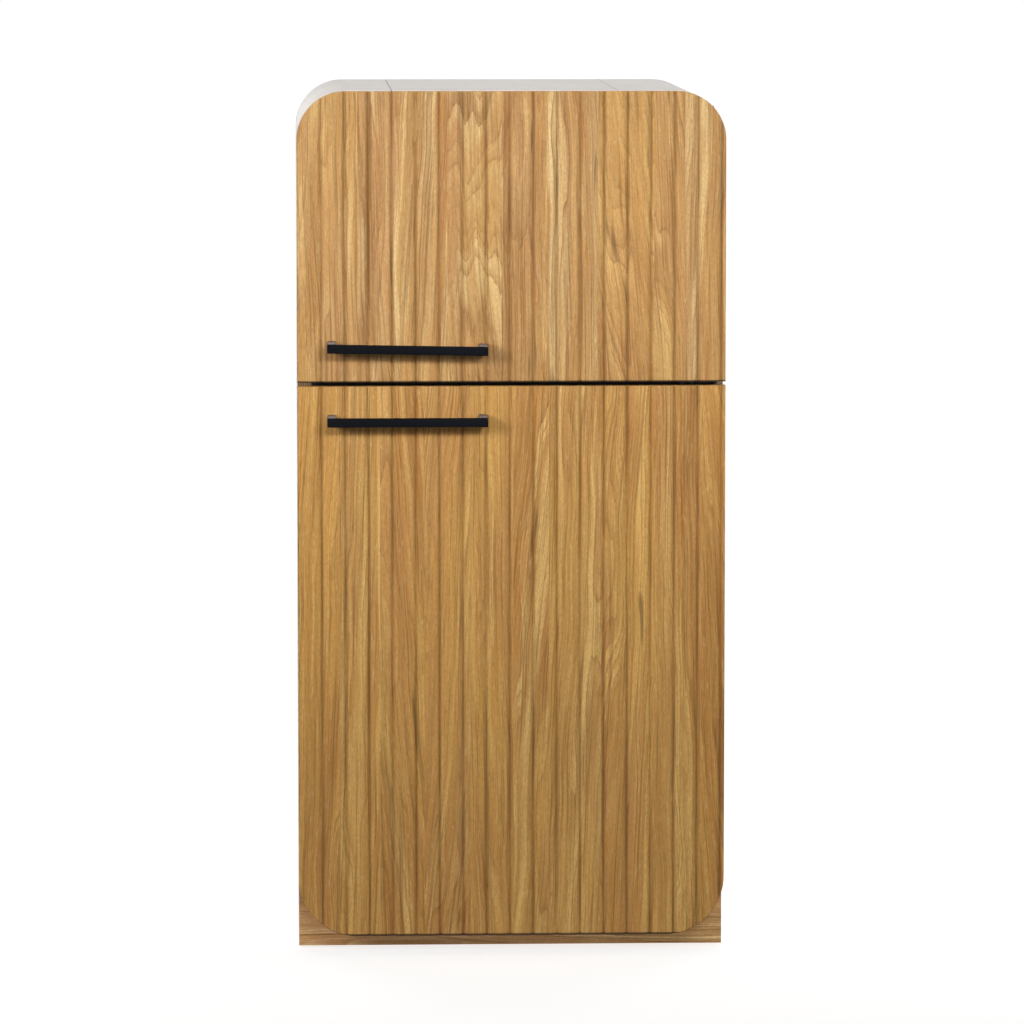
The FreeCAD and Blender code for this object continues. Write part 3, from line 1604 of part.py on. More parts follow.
def build():
    """Makes every sub-part."""
    side_wrap("left_side_wrap", -1, d.seam_left)
    side_wrap("right_side_wrap", 1, d.seam_right)
    top_of_shell()
    plinth()
    foam()
    front_frame()
    liner("freezer", [freezer_shelf])
    liner("fridge", [upper_shelf, lower_shelf, crisper_shelf])
    bay_panel()
    back_panel()
    base_pan()
    feet()
    wire_shelf()
    evaporator("fridge_evaporator", upper_shelf + d.channel_pitch)
    glass_shelves()
    control_box()
    knob()
    door_switch()
    crisper()
    compressor()
    condenser()
    bay_pipes()
    power_inlet()
    for which in ("top", "middle", "bottom"):
        bracket(which)
    hinge_screws()
    upper_z = upper_door_start + d.upper_handle_from_edge
    lower_z = lower_door_top - d.lower_handle_from_edge
    upper_heights = (upper_z, upper_z - d.upper_handle_drop)
    lower_heights = (lower_z, lower_z)
    door_front("upper_door_front", upper_door_start, d.cab_height, None, d.corner_radius,
               upper_heights)
    door_front("lower_door_front", d.lower_door_start, lower_door_top, d.lower_corner_radius,
               None, lower_heights)
    handle("upper_handle", upper_heights)
    handle("lower_handle", lower_heights)
    for name, low, high in (
        ("upper", upper_core_start, upper_core_top),
        ("lower", lower_core_start, lower_core_top),
    ):
        door_core(f"{name}_door_core", low, high)
        gasket(f"{name}_door_gasket", low, high)
        hinge_bushes(f"{name}_hinge_bushes", low, high)
    door_liner("upper_door_liner", freezer_floor + d.liner_margin,
               freezer_top - d.liner_margin)
    door_liner("lower_door_liner", fridge_floor + d.liner_margin / 2,
               fridge_top - d.liner_margin, lid_holes())
    door_bin("freezer_door_bin", freezer_bin_low, d.freezer_bin_height)
    door_bin("bottle_bin", bottle_bin_low, d.bottle_bin_height)
    door_bin("middle_bin", middle_bin_low, d.middle_bin_height)
    door_bin("dairy_bin", dairy_bin_low, d.dairy_bin_height)
    dairy_lid()


def check_and_write():
    """Stops on any failed object or bad shape, then writes one file for each sub-part."""
    doc.recompute()
    failed = [item.Label for item in doc.Objects if {"Invalid", "Error"} & set(item.State)]
    bad = [item.Label for item in nodes if item.Shape.isNull() or not item.Shape.isValid()]
    empty = [item.Label for item in nodes if not item.Shape.Solids]
    if failed or bad or empty:
        raise RuntimeError(f"failed {failed}, bad shapes {bad}, no solid {empty}")
    os.makedirs("parts", exist_ok=True)
    for item in nodes:
        item.Shape.exportStep(f"parts/{item.Label}.step")
    print(len(nodes), "sub-parts written")


build()
check_and_write()
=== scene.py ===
import json
import math

import bmesh
import bpy
from mathutils import Matrix, Vector


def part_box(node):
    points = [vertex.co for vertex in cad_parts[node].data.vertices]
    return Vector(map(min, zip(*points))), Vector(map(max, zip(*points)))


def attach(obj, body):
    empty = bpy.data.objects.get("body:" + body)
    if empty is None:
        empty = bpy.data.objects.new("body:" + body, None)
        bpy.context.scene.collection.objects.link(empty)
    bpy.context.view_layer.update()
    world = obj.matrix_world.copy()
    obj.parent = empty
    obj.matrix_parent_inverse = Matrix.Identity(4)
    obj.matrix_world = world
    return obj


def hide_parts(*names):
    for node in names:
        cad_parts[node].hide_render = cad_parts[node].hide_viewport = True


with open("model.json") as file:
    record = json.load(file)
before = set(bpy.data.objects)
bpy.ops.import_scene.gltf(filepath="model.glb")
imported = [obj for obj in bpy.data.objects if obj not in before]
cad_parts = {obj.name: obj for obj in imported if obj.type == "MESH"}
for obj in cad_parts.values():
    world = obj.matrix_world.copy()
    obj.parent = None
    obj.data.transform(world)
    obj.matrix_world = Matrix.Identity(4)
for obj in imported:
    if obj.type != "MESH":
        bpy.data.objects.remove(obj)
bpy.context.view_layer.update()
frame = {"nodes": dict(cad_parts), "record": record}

# A compact fridge with fluted oak doors. Metres, in the row frame: +Z up, the doors face -Y.

MM = 0.001

# doors, in the same sizes as the solids that they stand for
flute_first = 31 * MM  # from a door's left edge to its first flute
flute_pitch = 30 * MM
flute_reach = 6 * MM  # from a flute's middle to its side
flute_depth = 3 * MM
flute_bottom_share = 0.05
flute_curve = 2.5
flat_crown = 0.25 * MM
flat_fall = 1.2 * MM
front_easing = 1.3 * MM
back_easing = 0.4 * MM
upper_corner = 62 * MM
lower_corner = 76 * MM
ply = 1.45 * MM

half_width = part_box("upper_door_front")[1].x
top_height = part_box("upper_door_front")[1].z
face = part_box("upper_door_front")[0].y
upper_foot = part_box("upper_door_front")[0].z
lower_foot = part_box("lower_door_front")[0].z

# camera, fitted to the photograph's door edges and top
camera_place = (-0.285, -7.755, 1.334)
camera_yaw = math.radians(2.179)
camera_pitch = math.radians(-5.818)
camera_lens = 207.8


# node trees

def linear(value):
    """One sRGB level from 0 to 255 as a linear value."""
    share = value / 255
    return share / 12.92 if share <= 0.04045 else ((share + 0.055) / 1.055) ** 2.4


def colour(red, green, blue):
    """An sRGB colour as Blender's linear one."""
    return (linear(red), linear(green), linear(blue), 1.0)


class Shade:
    """One material's node tree."""

    def __init__(self, name, roughness=None, metallic=0.0, **constants):
        self.material = bpy.data.materials.new(name)
        self.material.use_nodes = True
        self.nodes = self.material.node_tree.nodes
        self.links = self.material.node_tree.links
        self.shader = self.nodes["Principled BSDF"]
        self.shader.inputs["Metallic"].default_value = metallic
        if roughness is not None:
            self.shader.inputs["Roughness"].default_value = roughness
        for socket, value in constants.items():
            self.shader.inputs[socket.replace("_", " ")].default_value = value
        self.place = self.add("ShaderNodeTexCoord").outputs["Object"]

    def add(self, kind, **settings):
        made = self.nodes.new(kind)
        for key, value in settings.items():
            setattr(made, key, value)
        return made

    def put(self, socket, value):
        """Links an output, or sets a constant."""
        if isinstance(value, bpy.types.NodeSocket):
            self.links.new(value, socket)
        else:
            socket.default_value = value

    def math(self, operation, first, second=0.0, third=0.0):
        made = self.add("ShaderNodeMath", operation=operation)
        for socket, value in zip(made.inputs, (first, second, third)):
            self.put(socket, value)
        return made.outputs[0]

    def axes(self, vector=None):
        made = self.add("ShaderNodeSeparateXYZ")
        self.put(made.inputs[0], self.place if vector is None else vector)
        return made.outputs["X"], made.outputs["Y"], made.outputs["Z"]

    def join(self, x, y, z):
        made = self.add("ShaderNodeCombineXYZ")
        for socket, value in zip(made.inputs, (x, y, z)):
            self.put(socket, value)
        return made.outputs[0]

    def stretch(self, scale, vector=None, shift=(0, 0, 0)):
        made = self.add("ShaderNodeMapping")
        self.put(made.inputs["Vector"], self.place if vector is None else vector)
        made.inputs["Scale"].default_value = scale
        made.inputs["Location"].default_value = shift
        return made.outputs[0]

    def noise(self, vector, scale=1.0, detail=2.0, roughness=0.5):
        made = self.add("ShaderNodeTexNoise")
        self.put(made.inputs["Vector"], vector)
        made.inputs["Scale"].default_value = scale
        made.inputs["Detail"].default_value = detail
        made.inputs["Roughness"].default_value = roughness
        return made.outputs["Fac"]

    def line_noise(self, along, scale, detail=2.0, roughness=0.5):
        made = self.add("ShaderNodeTexNoise", noise_dimensions="1D")
        self.put(made.inputs["W"], along)
        made.inputs["Scale"].default_value = scale
        made.inputs["Detail"].default_value = detail
        made.inputs["Roughness"].default_value = roughness
        return made.outputs["Fac"]

    def white(self, along):
        made = self.add("ShaderNodeTexWhiteNoise", noise_dimensions="1D")
        self.put(made.inputs["W"], along)
        return made.outputs["Value"]

    def range(self, value, low, high, new_low=0.0, new_high=1.0, smooth=True):
        made = self.add("ShaderNodeMapRange")
        made.interpolation_type = "SMOOTHSTEP" if smooth else "LINEAR"
        for socket, item in zip(made.inputs[:5], (value, low, high, new_low, new_high)):
            self.put(socket, item)
        return made.outputs[0]

    def mix(self, share, first, second, blend="MIX"):
        made = self.add("ShaderNodeMix", data_type="RGBA", blend_type=blend)
        self.put(made.inputs["Factor"], share)
        self.put(made.inputs[6], first)
        self.put(made.inputs[7], second)
        return made.outputs[2]

    def bump(self, height, strength=0.3, distance=0.0005):
        made = self.add("ShaderNodeBump")
        made.inputs["Strength"].default_value = strength
        made.inputs["Distance"].default_value = distance
        self.put(made.inputs["Height"], height)
        return made.outputs["Normal"]

    def finish(self, base, roughness=None, normal=None):
        self.put(self.shader.inputs["Base Color"], base)
        if roughness is not None:
            self.put(self.shader.inputs["Roughness"], roughness)
        if normal is not None:
            self.put(self.shader.inputs["Normal"], normal)
        return self.material


# finishes

def oak(name, tint, level=False, board=58 * MM, seed=0.0, front=None, foot=None,
        foot_shadow_height=1.2 * MM):
    """Oiled oak: boards, growth rings cut lengthwise, streaks, fine pores and rays.

    front is the fluted face's place in y and foot is its lowest height, where it has them; the
    flutes get painted shade by their depth behind front, and a painted shadow runs along foot.
    """
    shade = Shade(name, Specular_IOR_Level=0.25)
    x, y, z = shade.axes()
    across, along = (z, x) if level else (x, z)
    boards = shade.add("ShaderNodeTexVoronoi", voronoi_dimensions="1D")
    shade.put(boards.inputs["W"], shade.math("ADD", across, seed))
    boards.inputs["Scale"].default_value = 1 / board
    boards.inputs["Randomness"].default_value = 0.75
    tone, turn, drift = shade.axes(boards.outputs["Color"])
    middle = shade.math("DIVIDE", boards.outputs["W"], 1 / board)
    middle = shade.math("SUBTRACT", middle, seed)
    own = shade.math("MULTIPLY_ADD", tone, 7.0, shade.math("MULTIPLY", turn, 3.0))
    own = shade.math("ADD", own, seed * 5)

    # each board's grain leans and sways its own way, with flames where it bends
    lean = shade.math("MULTIPLY_ADD", drift, 0.13, -0.065)
    sway = shade.noise(shade.join(shade.math("MULTIPLY", across, 5.0), own,
                                  shade.math("MULTIPLY", along, 3.0)), 1.0, 2.0)
    sway = shade.math("MULTIPLY", shade.math("SUBTRACT", sway, 0.5), 0.030)
    bent = shade.math("ADD", across, sway)
    bent = shade.math("ADD", bent, shade.math("MULTIPLY", lean, along))
    place = shade.join(bent, shade.math("ADD", y, shade.math("ADD", own, seed)), along)
    flame = shade.noise(shade.stretch((26.0, 26.0, 3.4), place), 1.0, 1.0, 0.4)
    flame = shade.math("MULTIPLY", shade.math("SUBTRACT", flame, 0.5), 0.060)
    waver = shade.noise(shade.stretch((70.0, 70.0, 9.0), place), 1.0, 1.0, 0.4)
    flame = shade.math("ADD", flame, shade.math("MULTIPLY_ADD", waver, 0.012, -0.006))

    # growth rings: the cut's distance from a heart that it leaves slowly along the board
    aside = shade.math("SUBTRACT", bent, middle)
    aside = shade.math("ADD", aside, shade.math("MULTIPLY_ADD", turn, 0.04, -0.020))
    steep = shade.math("MULTIPLY_ADD", shade.math("MULTIPLY", drift, drift), 0.16, 0.03)
    side = shade.math("SIGN", shade.math("SUBTRACT", tone, 0.5))
    depth = shade.math("MULTIPLY", shade.math("MULTIPLY", along, side), steep)
    depth = shade.math("ADD", depth, shade.math("MULTIPLY_ADD", turn, 0.10, 0.01))
    rings = shade.math("SQRT", shade.math("ADD", shade.math("MULTIPLY", aside, aside),
                                          shade.math("MULTIPLY", depth, depth)))
    rings = shade.math("ADD", rings, shade.math("MULTIPLY", own, 0.37))
    rings = shade.math("ADD", rings, flame)
    ragged = shade.noise(shade.stretch((260.0, 260.0, 18.0), place), 1.0, 2.0, 0.6)
    rings = shade.math("ADD", rings, shade.math("MULTIPLY_ADD", ragged, 0.0022, -0.0011))
    broad = shade.line_noise(rings, 62.0, 1.0, 0.5)
    turns = shade.math("MULTIPLY_ADD", rings, 140.0, shade.math("MULTIPLY", broad, 3.5))
    late = shade.range(shade.math("FRACT", turns), 0.0, 0.72, 1.0, 0.0, smooth=False)
    late = shade.math("POWER", late, 2.2)
    faint = shade.line_noise(rings, 70.0, 1.0, 0.5)
    late = shade.math("MULTIPLY", late, shade.range(faint, 0.34, 0.60, 0.3, 1.0))

    # each flat between two flutes has its own tone
    first_flute = half_width - flute_first
    flat = shade.math("FLOOR", shade.math("DIVIDE", shade.math("ADD", across, first_flute),
                                          flute_pitch))
    flat = shade.white(shade.math("ADD", flat, seed * 11 + 0.5))

    # streaks, fibres and pores, all drawn out along the board
    streak = shade.noise(shade.stretch((150.0, 150.0, 2.6), place), 1.0, 3.0, 0.6)
    streak = shade.range(streak, 0.42, 0.64)
    band = shade.noise(shade.stretch((48.0, 48.0, 1.4), place), 1.0, 2.0, 0.5)
    band = shade.range(band, 0.40, 0.64)
    fibre = shade.noise(shade.stretch((900.0, 900.0, 11.0), place), 1.0, 2.0, 0.6)
    pores = shade.noise(shade.stretch((1300.0, 1300.0, 50.0), place), 1.0, 1.0, 0.5)
    pores = shade.range(pores, 0.58, 0.70)
    pores = shade.math("MULTIPLY", pores, shade.math("MULTIPLY_ADD", late, 0.7, 0.3))
    hair = shade.noise(shade.stretch((430.0, 430.0, 4.6), place, (1.7, 4.1, 2.3)), 1.0, 2.0, 0.5)
    hair = shade.range(hair, 0.55, 0.66)
    flecks = shade.noise(shade.stretch((420.0, 420.0, 60.0), place), 1.0, 2.0, 0.5)
    flecks = shade.range(flecks, 0.60, 0.72)
    grit = shade.noise(shade.stretch((620.0, 620.0, 210.0), place), 1.0, 2.0, 0.7)
    cloud = shade.noise(shade.stretch((9.0, 9.0, 2.4), place), 1.0, 2.0, 0.5)
    mineral = shade.noise(shade.stretch((80.0, 80.0, 7.5), place, (3.1, 0.7, 1.9)), 1.0, 1.0)
    mineral = shade.range(mineral, 0.70, 0.78)
    rosy = shade.noise(shade.stretch((30.0, 30.0, 1.8), place, (5.3, 2.9, 0.4)), 1.0, 2.0, 0.5)

    # colours, laid over each other from the broadest to the finest
    base = shade.mix(tone, colour(254, 218, 158), colour(224, 168, 96))
    late_tone = shade.mix(turn, colour(144, 86, 32), colour(148, 94, 44))
    for share, laid in (
        (shade.range(flat, 0.0, 1.0, 0.0, 0.52, smooth=False), colour(198, 148, 88)),
        (shade.math("MULTIPLY", band, 0.66), colour(186, 120, 50)),
        (shade.range(broad, 0.36, 0.62, 0.0, 0.70), colour(174, 108, 42)),
        (shade.math("MULTIPLY", late, 0.95), late_tone),
        (shade.math("MULTIPLY", streak, 0.56), colour(140, 88, 36)),
        (shade.range(fibre, 0.3, 0.7, 0.0, 0.22), colour(242, 210, 156)),
        (shade.range(cloud, 0.38, 0.62, 0.0, 0.30), colour(230, 180, 104)),
        (shade.range(rosy, 0.48, 0.66, 0.0, 0.27), colour(192, 134, 88)),
        (shade.math("MULTIPLY", flecks, 0.20), colour(242, 216, 170)),
        (shade.range(grit, 0.30, 0.70, 0.0, 0.40, smooth=False), colour(142, 96, 48)),
        (shade.math("MULTIPLY", hair, 0.50), colour(126, 82, 38)),
        (shade.math("MULTIPLY", pores, 0.62), colour(108, 68, 32)),
        (shade.math("MULTIPLY", mineral, 0.6), colour(84, 54, 28)),
    ):
        base = shade.mix(share, base, laid)

    # painted shade: the flutes' sides and bottoms are darkened by their depth, unevenly; the
    # door's edges and back aren't
    if front is not None:
        sunk = shade.math("SUBTRACT", y, front)
        groove_shade_patches = shade.noise(shade.stretch((24.0, 24.0, 3.0)), 1.0, 3.0, 0.6)
        groove_shade_patches = shade.range(groove_shade_patches, 0.34, 0.62, 0.08, 0.48)
        shallow = shade.range(sunk, 3.2 * MM, 4.2 * MM, 1.0, 0.0)
        base = shade.mix(shade.math("MULTIPLY", shallow,
                                    shade.range(sunk, 0.4 * MM, 1.6 * MM, 0.0, 0.16)),
                         base, colour(112, 84, 52))
        base = shade.mix(shade.math("MULTIPLY", shallow,
                                    shade.range(sunk, 1.5 * MM, 2.7 * MM, 0.0, groove_shade_patches)),
                         base, colour(96, 62, 30))

    base = shade.mix(1.0, base, (*tint, 1.0), "MULTIPLY")

    # painted shadow: a dark line along the boards' lower edges, on the downward-facing easing and
    # in a band just above the foot, stands in for the shade under the door's bottom edge
    if foot is not None:
        facing = shade.axes(shade.add("ShaderNodeNewGeometry").outputs["Normal"])[2]
        underside_shade = shade.range(facing, -0.62, -0.30, 0.92, 0.0)
        rim = shade.range(z, foot + foot_shadow_height, foot + foot_shadow_height + 1.4 * MM, 0.90, 0.0)
        base = shade.mix(shade.math("MAXIMUM", underside_shade, rim), base, colour(44, 27, 12))

    rough = shade.range(fibre, 0.2, 0.8, 0.50, 0.64, smooth=False)
    height = shade.math("SUBTRACT", shade.math("MULTIPLY", fibre, 0.35), pores)
    height = shade.math("SUBTRACT", height, shade.math("MULTIPLY", late, 0.25))
    normal = shade.bump(height, 0.35, 0.00035)
    return shade.finish(base, rough, normal)


def laminate(name, half, top, radius):
    """A pale laminated skin on bent plywood, whose plies show on the front and rear edges."""
    shade = Shade(name, Specular_IOR_Level=0.12)
    x, y, z = shade.axes()
    aside = shade.math("SUBTRACT", shade.math("ABSOLUTE", x), half - radius)
    above = shade.math("SUBTRACT", z, top - radius)
    side_out = shade.math("MAXIMUM", aside, 0.0)
    top_out = shade.math("MAXIMUM", above, 0.0)
    reach = shade.math("SQRT", shade.math("ADD", shade.math("MULTIPLY", side_out, side_out),
                                          shade.math("MULTIPLY", top_out, top_out)))
    inside = shade.math("MINIMUM", shade.math("MAXIMUM", aside, above), 0.0)
    depth = shade.math("SUBTRACT", radius, shade.math("ADD", reach, inside))
    layer = shade.math("FLOOR", shade.math("DIVIDE", depth, ply))
    odd = shade.math("MODULO", layer, 2.0)
    shift = shade.noise(shade.stretch((260.0, 260.0, 260.0)), 1.0, 3.0, 0.6)
    wood = shade.mix(odd, colour(190, 160, 122), colour(142, 108, 76))
    wood = shade.mix(shade.range(shift, 0.35, 0.65, 0.0, 0.5), wood, colour(166, 132, 96))
    glue = shade.math("FRACT", shade.math("DIVIDE", depth, ply))
    wood = shade.mix(shade.range(glue, 0.86, 0.94, 0.0, 0.6), wood, colour(84, 58, 38))
    mottle = shade.noise(shade.stretch((14.0, 6.0, 14.0)), 1.0, 4.0, 0.6)
    grain = shade.noise(shade.stretch((260.0, 4.0, 260.0)), 1.0, 3.0, 0.6)
    skin = shade.mix(shade.range(mottle, 0.3, 0.7), colour(215, 210, 206), colour(220, 215, 210))
    skin = shade.mix(shade.range(grain, 0.45, 0.75, 0.0, 0.35), skin, colour(209, 203, 197))
    facing = shade.axes(shade.add("ShaderNodeTexCoord").outputs["Normal"])[1]
    cut = shade.range(shade.math("ABSOLUTE", facing), 0.7, 0.95)
    thin = shade.range(depth, 0.5 * MM, 0.8 * MM)
    cut = shade.math("MULTIPLY", cut, thin)
    base = shade.mix(cut, skin, wood)
    rough = shade.range(cut, 0.0, 1.0, 0.58, 0.75, smooth=False)
    speck = shade.noise(shade.stretch((1400.0, 1400.0, 1400.0)), 1.0, 2.0, 0.6)
    return shade.finish(base, rough, shade.bump(speck, 0.08, 0.0002))


def plastic(name, first, second, rough, grain=900.0, strength=0.12):
    """A moulded plastic with a faint texture and slight unevenness."""
    shade = Shade(name)
    cloud = shade.noise(shade.stretch((9.0, 9.0, 9.0)), 1.0, 3.0, 0.5)
    grit = shade.noise(shade.place, grain, 2.0, 0.6)
    base = shade.mix(shade.range(cloud, 0.3, 0.7), colour(*first), colour(*second))
    rough_out = shade.range(cloud, 0.3, 0.7, rough - 0.05, rough + 0.06, smooth=False)
    return shade.finish(base, rough_out, shade.bump(grit, strength, 0.0002))


def coated(name, first, second, rough, grain=1600.0, strength=0.2, **constants):
    """A powder-coated metal: a fine orange peel and a faint change of tone."""
    shade = Shade(name, **constants)
    cloud = shade.noise(shade.stretch((5.0, 5.0, 5.0)), 1.0, 3.0, 0.5)
    peel = shade.noise(shade.place, grain, 1.0, 0.5)
    base = shade.mix(shade.range(cloud, 0.3, 0.7), colour(*first), colour(*second))
    rough_out = shade.range(peel, 0.2, 0.8, rough - 0.05, rough + 0.07, smooth=False)
    return shade.finish(base, rough_out, shade.bump(peel, strength, 0.00015))


def metal(name, first, second, rough, stretch):
    """A bare or plated metal with drawn lines along one axis and faint stains."""
    shade = Shade(name, metallic=1.0)
    lines = shade.noise(shade.stretch(stretch), 1.0, 3.0, 0.6)
    cloud = shade.noise(shade.stretch((14.0, 14.0, 14.0)), 1.0, 4.0, 0.6)
    base = shade.mix(shade.range(cloud, 0.35, 0.7), colour(*first), colour(*second))
    rough_out = shade.range(lines, 0.25, 0.75, rough - 0.06, rough + 0.10, smooth=False)
    return shade.finish(base, rough_out, shade.bump(lines, 0.15, 0.0001))


def clear(name, tint, rough, share, ior):
    """A see-through plastic or glass."""
    shade = Shade(name, Transmission_Weight=share, IOR=ior)
    smear = shade.noise(shade.stretch((22.0, 22.0, 22.0)), 1.0, 4.0, 0.6)
    base = shade.mix(shade.range(smear, 0.3, 0.7), colour(*tint),
                     colour(*(level - 6 for level in tint)))
    rough_out = shade.range(smear, 0.3, 0.7, rough, rough + 0.06, smooth=False)
    wave = shade.noise(shade.place, 60.0, 2.0, 0.5)
    return shade.finish(base, rough_out, shade.bump(wave, 0.04, 0.0004))


def foam_finish(name):
    """Rigid foam: small cells and a yellowed skin."""
    shade = Shade(name)
    cells = shade.add("ShaderNodeTexVoronoi")
    shade.put(cells.inputs["Vector"], shade.place)
    cells.inputs["Scale"].default_value = 700.0
    cloud = shade.noise(shade.stretch((8.0, 8.0, 8.0)), 1.0, 4.0, 0.6)
    base = shade.mix(shade.range(cloud, 0.3, 0.7), colour(232, 214, 164), colour(214, 188, 128))
    height = cells.outputs["Distance"]
    return shade.finish(base, shade.range(height, 0.0, 0.6, 0.7, 0.95), shade.bump(height, 0.5))


FINISHES = {
    "oak": oak("oak_upper", (1.0, 1.07, 1.06), front=face, foot=upper_foot),
    "shell_laminate": laminate("shell_laminate", half_width, top_height, upper_corner),
    "seam_filler": coated("seam_filler", (156, 136, 122), (140, 120, 104), 0.6),
    "handle_black": coated("handle_black", (10, 12, 17), (15, 17, 22), 0.6, 2600.0, 0.25,
                           Specular_IOR_Level=0.05),
    "black_metal": coated("black_metal", (20, 19, 18), (26, 25, 24), 0.5),
    "grey_metal": coated("grey_metal", (196, 198, 199), (186, 188, 190), 0.42),
    "hinge_steel": metal("hinge_steel", (86, 86, 88), (72, 71, 70), 0.42,
                         (40.0, 900.0, 900.0)),
    "white_wire": coated("white_wire", (236, 237, 236), (228, 229, 227), 0.38),
    "aluminium_plate": metal("aluminium_plate", (206, 208, 210), (190, 192, 195), 0.38,
                             (6.0, 700.0, 700.0)),
    "copper_pipe": metal("copper_pipe", (190, 118, 84), (150, 88, 62), 0.30,
                         (500.0, 500.0, 30.0)),
    "white_plastic": plastic("white_plastic", (230, 231, 230), (223, 224, 223), 0.34),
    "black_plastic": plastic("black_plastic", (25, 25, 26), (32, 32, 33), 0.5),
    "clear_plastic": clear("clear_plastic", (250, 252, 253), 0.05, 0.96, 1.35),
    "shelf_glass": clear("shelf_glass", (240, 249, 245), 0.02, 0.97, 1.45),
    "lamp_glass": clear("lamp_glass", (252, 246, 230), 0.12, 0.6, 1.45),
    "seal_rubber": plastic("seal_rubber", (27, 27, 28), (36, 36, 37), 0.62, 1800.0, 0.2),
    "foam": foam_finish("foam"),
}
# the lower door's painted shadow along its foot reaches higher than the upper door's
OAK_LOWER = oak("oak_lower", (1.05, 1.09, 0.89), seed=0.63, front=face, foot=lower_foot,
                foot_shadow_height=2.4 * MM)
# painted light: the plinth's oak is tinted much lighter and paler than the doors' oak, to lift the
# shade it lies in under the lower door
OAK_LEVEL = oak("oak_level", (1.38, 1.54, 1.84), level=True, board=190 * MM, seed=0.31)
# painted reflection: the handle posts are coloured the brownish grey that black posts show on
# their tops where they catch the light and reflect the oak
POST_REFLECTION = coated("post_painted_reflection", (112, 94, 84), (96, 80, 72), 0.5, 2000.0, 0.15)


def dress(piece, finish):
    """Gives a piece one material."""
    if piece.material_slots:
        for slot in piece.material_slots:
            slot.material = finish
    else:
        piece.data.materials.append(finish)


for subpart in frame["record"]["subparts"]:
    dress(frame["nodes"][subpart["node"]], FINISHES[subpart["material_slot"]])
dress(frame["nodes"]["plinth_front"], OAK_LEVEL)
dress(frame["nodes"]["lower_door_front"], OAK_LOWER)
dress(frame["nodes"]["middle_hinge_bracket"], FINISHES["black_metal"])
for node in ("upper_hinge_bushes", "lower_hinge_bushes"):
    dress(frame["nodes"][node], FINISHES["black_plastic"])


# pieces

def new_piece(name, mesh, body, slot, finish, *stands_for):
    """Puts a mesh into the scene as one piece that rides on a body."""
    data = bpy.data.meshes.new(name)
    mesh.to_mesh(data)
    mesh.free()
    piece = bpy.data.objects.new(name, data)
    bpy.context.scene.collection.objects.link(piece)
    data.shade_smooth()
    dress(piece, finish)
    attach(piece, body)
    if stands_for:
        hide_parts(*stands_for)
    return piece


def flute_centres():
    """The flutes' places across a door."""
    count = int((half_width * 2 - flute_first) / flute_pitch) + 1
    return [-half_width + flute_first + flute_pitch * index for index in range(count)]


def face_depth(x):
    """How far the face lies behind its highest line: each flat falls off towards its right."""
    edges = [-half_width, *flute_centres(), half_width]
    after = next((index for index, edge in enumerate(edges) if edge > x), len(edges) - 1)
    left, right = edges[max(after - 1, 0)], edges[after]
    span = max((right - left) / 2, MM)
    fall = flat_fall * min(span / (flute_pitch / 2), 1.0)

    def flat(along):
        return flat_crown * along**2 + fall * max(along, 0.0) ** 2.2

    nearest = min(edges[1:-1], key=lambda centre: abs(centre - x))
    share = min(abs(x - nearest) / flute_reach, 1.0)
    blunt = flute_bottom_share
    rise = (math.hypot(share, blunt) - blunt) / (math.hypot(1.0, blunt) - blunt)
    rest = flute_depth - flat(1.0 if x < nearest else -1.0)
    return flat((x - (left + right) / 2) / span) + rest * (1 - rise) ** flute_curve


def door_columns(radius):
    """The places across a door where its mesh has a column of points."""
    flute_shares = (0.0, 0.04, 0.09, 0.15, 0.22, 0.3, 0.4, 0.52, 0.66, 0.82, 1.0)
    flat_shares = (0.12, 0.3, 0.5, 0.7, 0.88)
    corner_steps = 36
    centres = flute_centres()
    columns = {-half_width, half_width}
    for centre in centres:
        for share in flute_shares:
            columns.update((centre - flute_reach * share, centre + flute_reach * share))
    edges = [-half_width, *centres, half_width]
    for left, right in zip(edges, edges[1:]):
        low, high = left + flute_reach, right - flute_reach
        if left == -half_width:
            low = left
        if high > low:
            columns.update(low + (high - low) * share for share in flat_shares)
    for step in range(corner_steps):
        offset = radius * (1 - math.cos(math.pi / 2 * step / corner_steps))
        columns.update((-half_width + offset, half_width - offset))
    kept = []
    for x in sorted(columns):
        if -half_width <= x <= half_width and (not kept or x - kept[-1] > 0.02 * MM):
            kept.append(x)
    kept[-1] = half_width
    return kept


def door_edge(x, level, radius, side):
    """A point on a door's top or bottom edge, and the way inward. side is 1 at the top."""
    straight = half_width - radius
    if radius and abs(x) > straight:
        spread = min((abs(x) - straight) / radius, 1.0)
        rise = math.sqrt(1 - spread**2)
        place = level - side * radius * (1 - rise)
        return (x, place), (-math.copysign(spread, x), -side * rise)
    if not radius and abs(x) > half_width - 1e-9:
        return (x, level), (-math.copysign(1.0, x), -side)
    return (x, level), (0.0, -side)


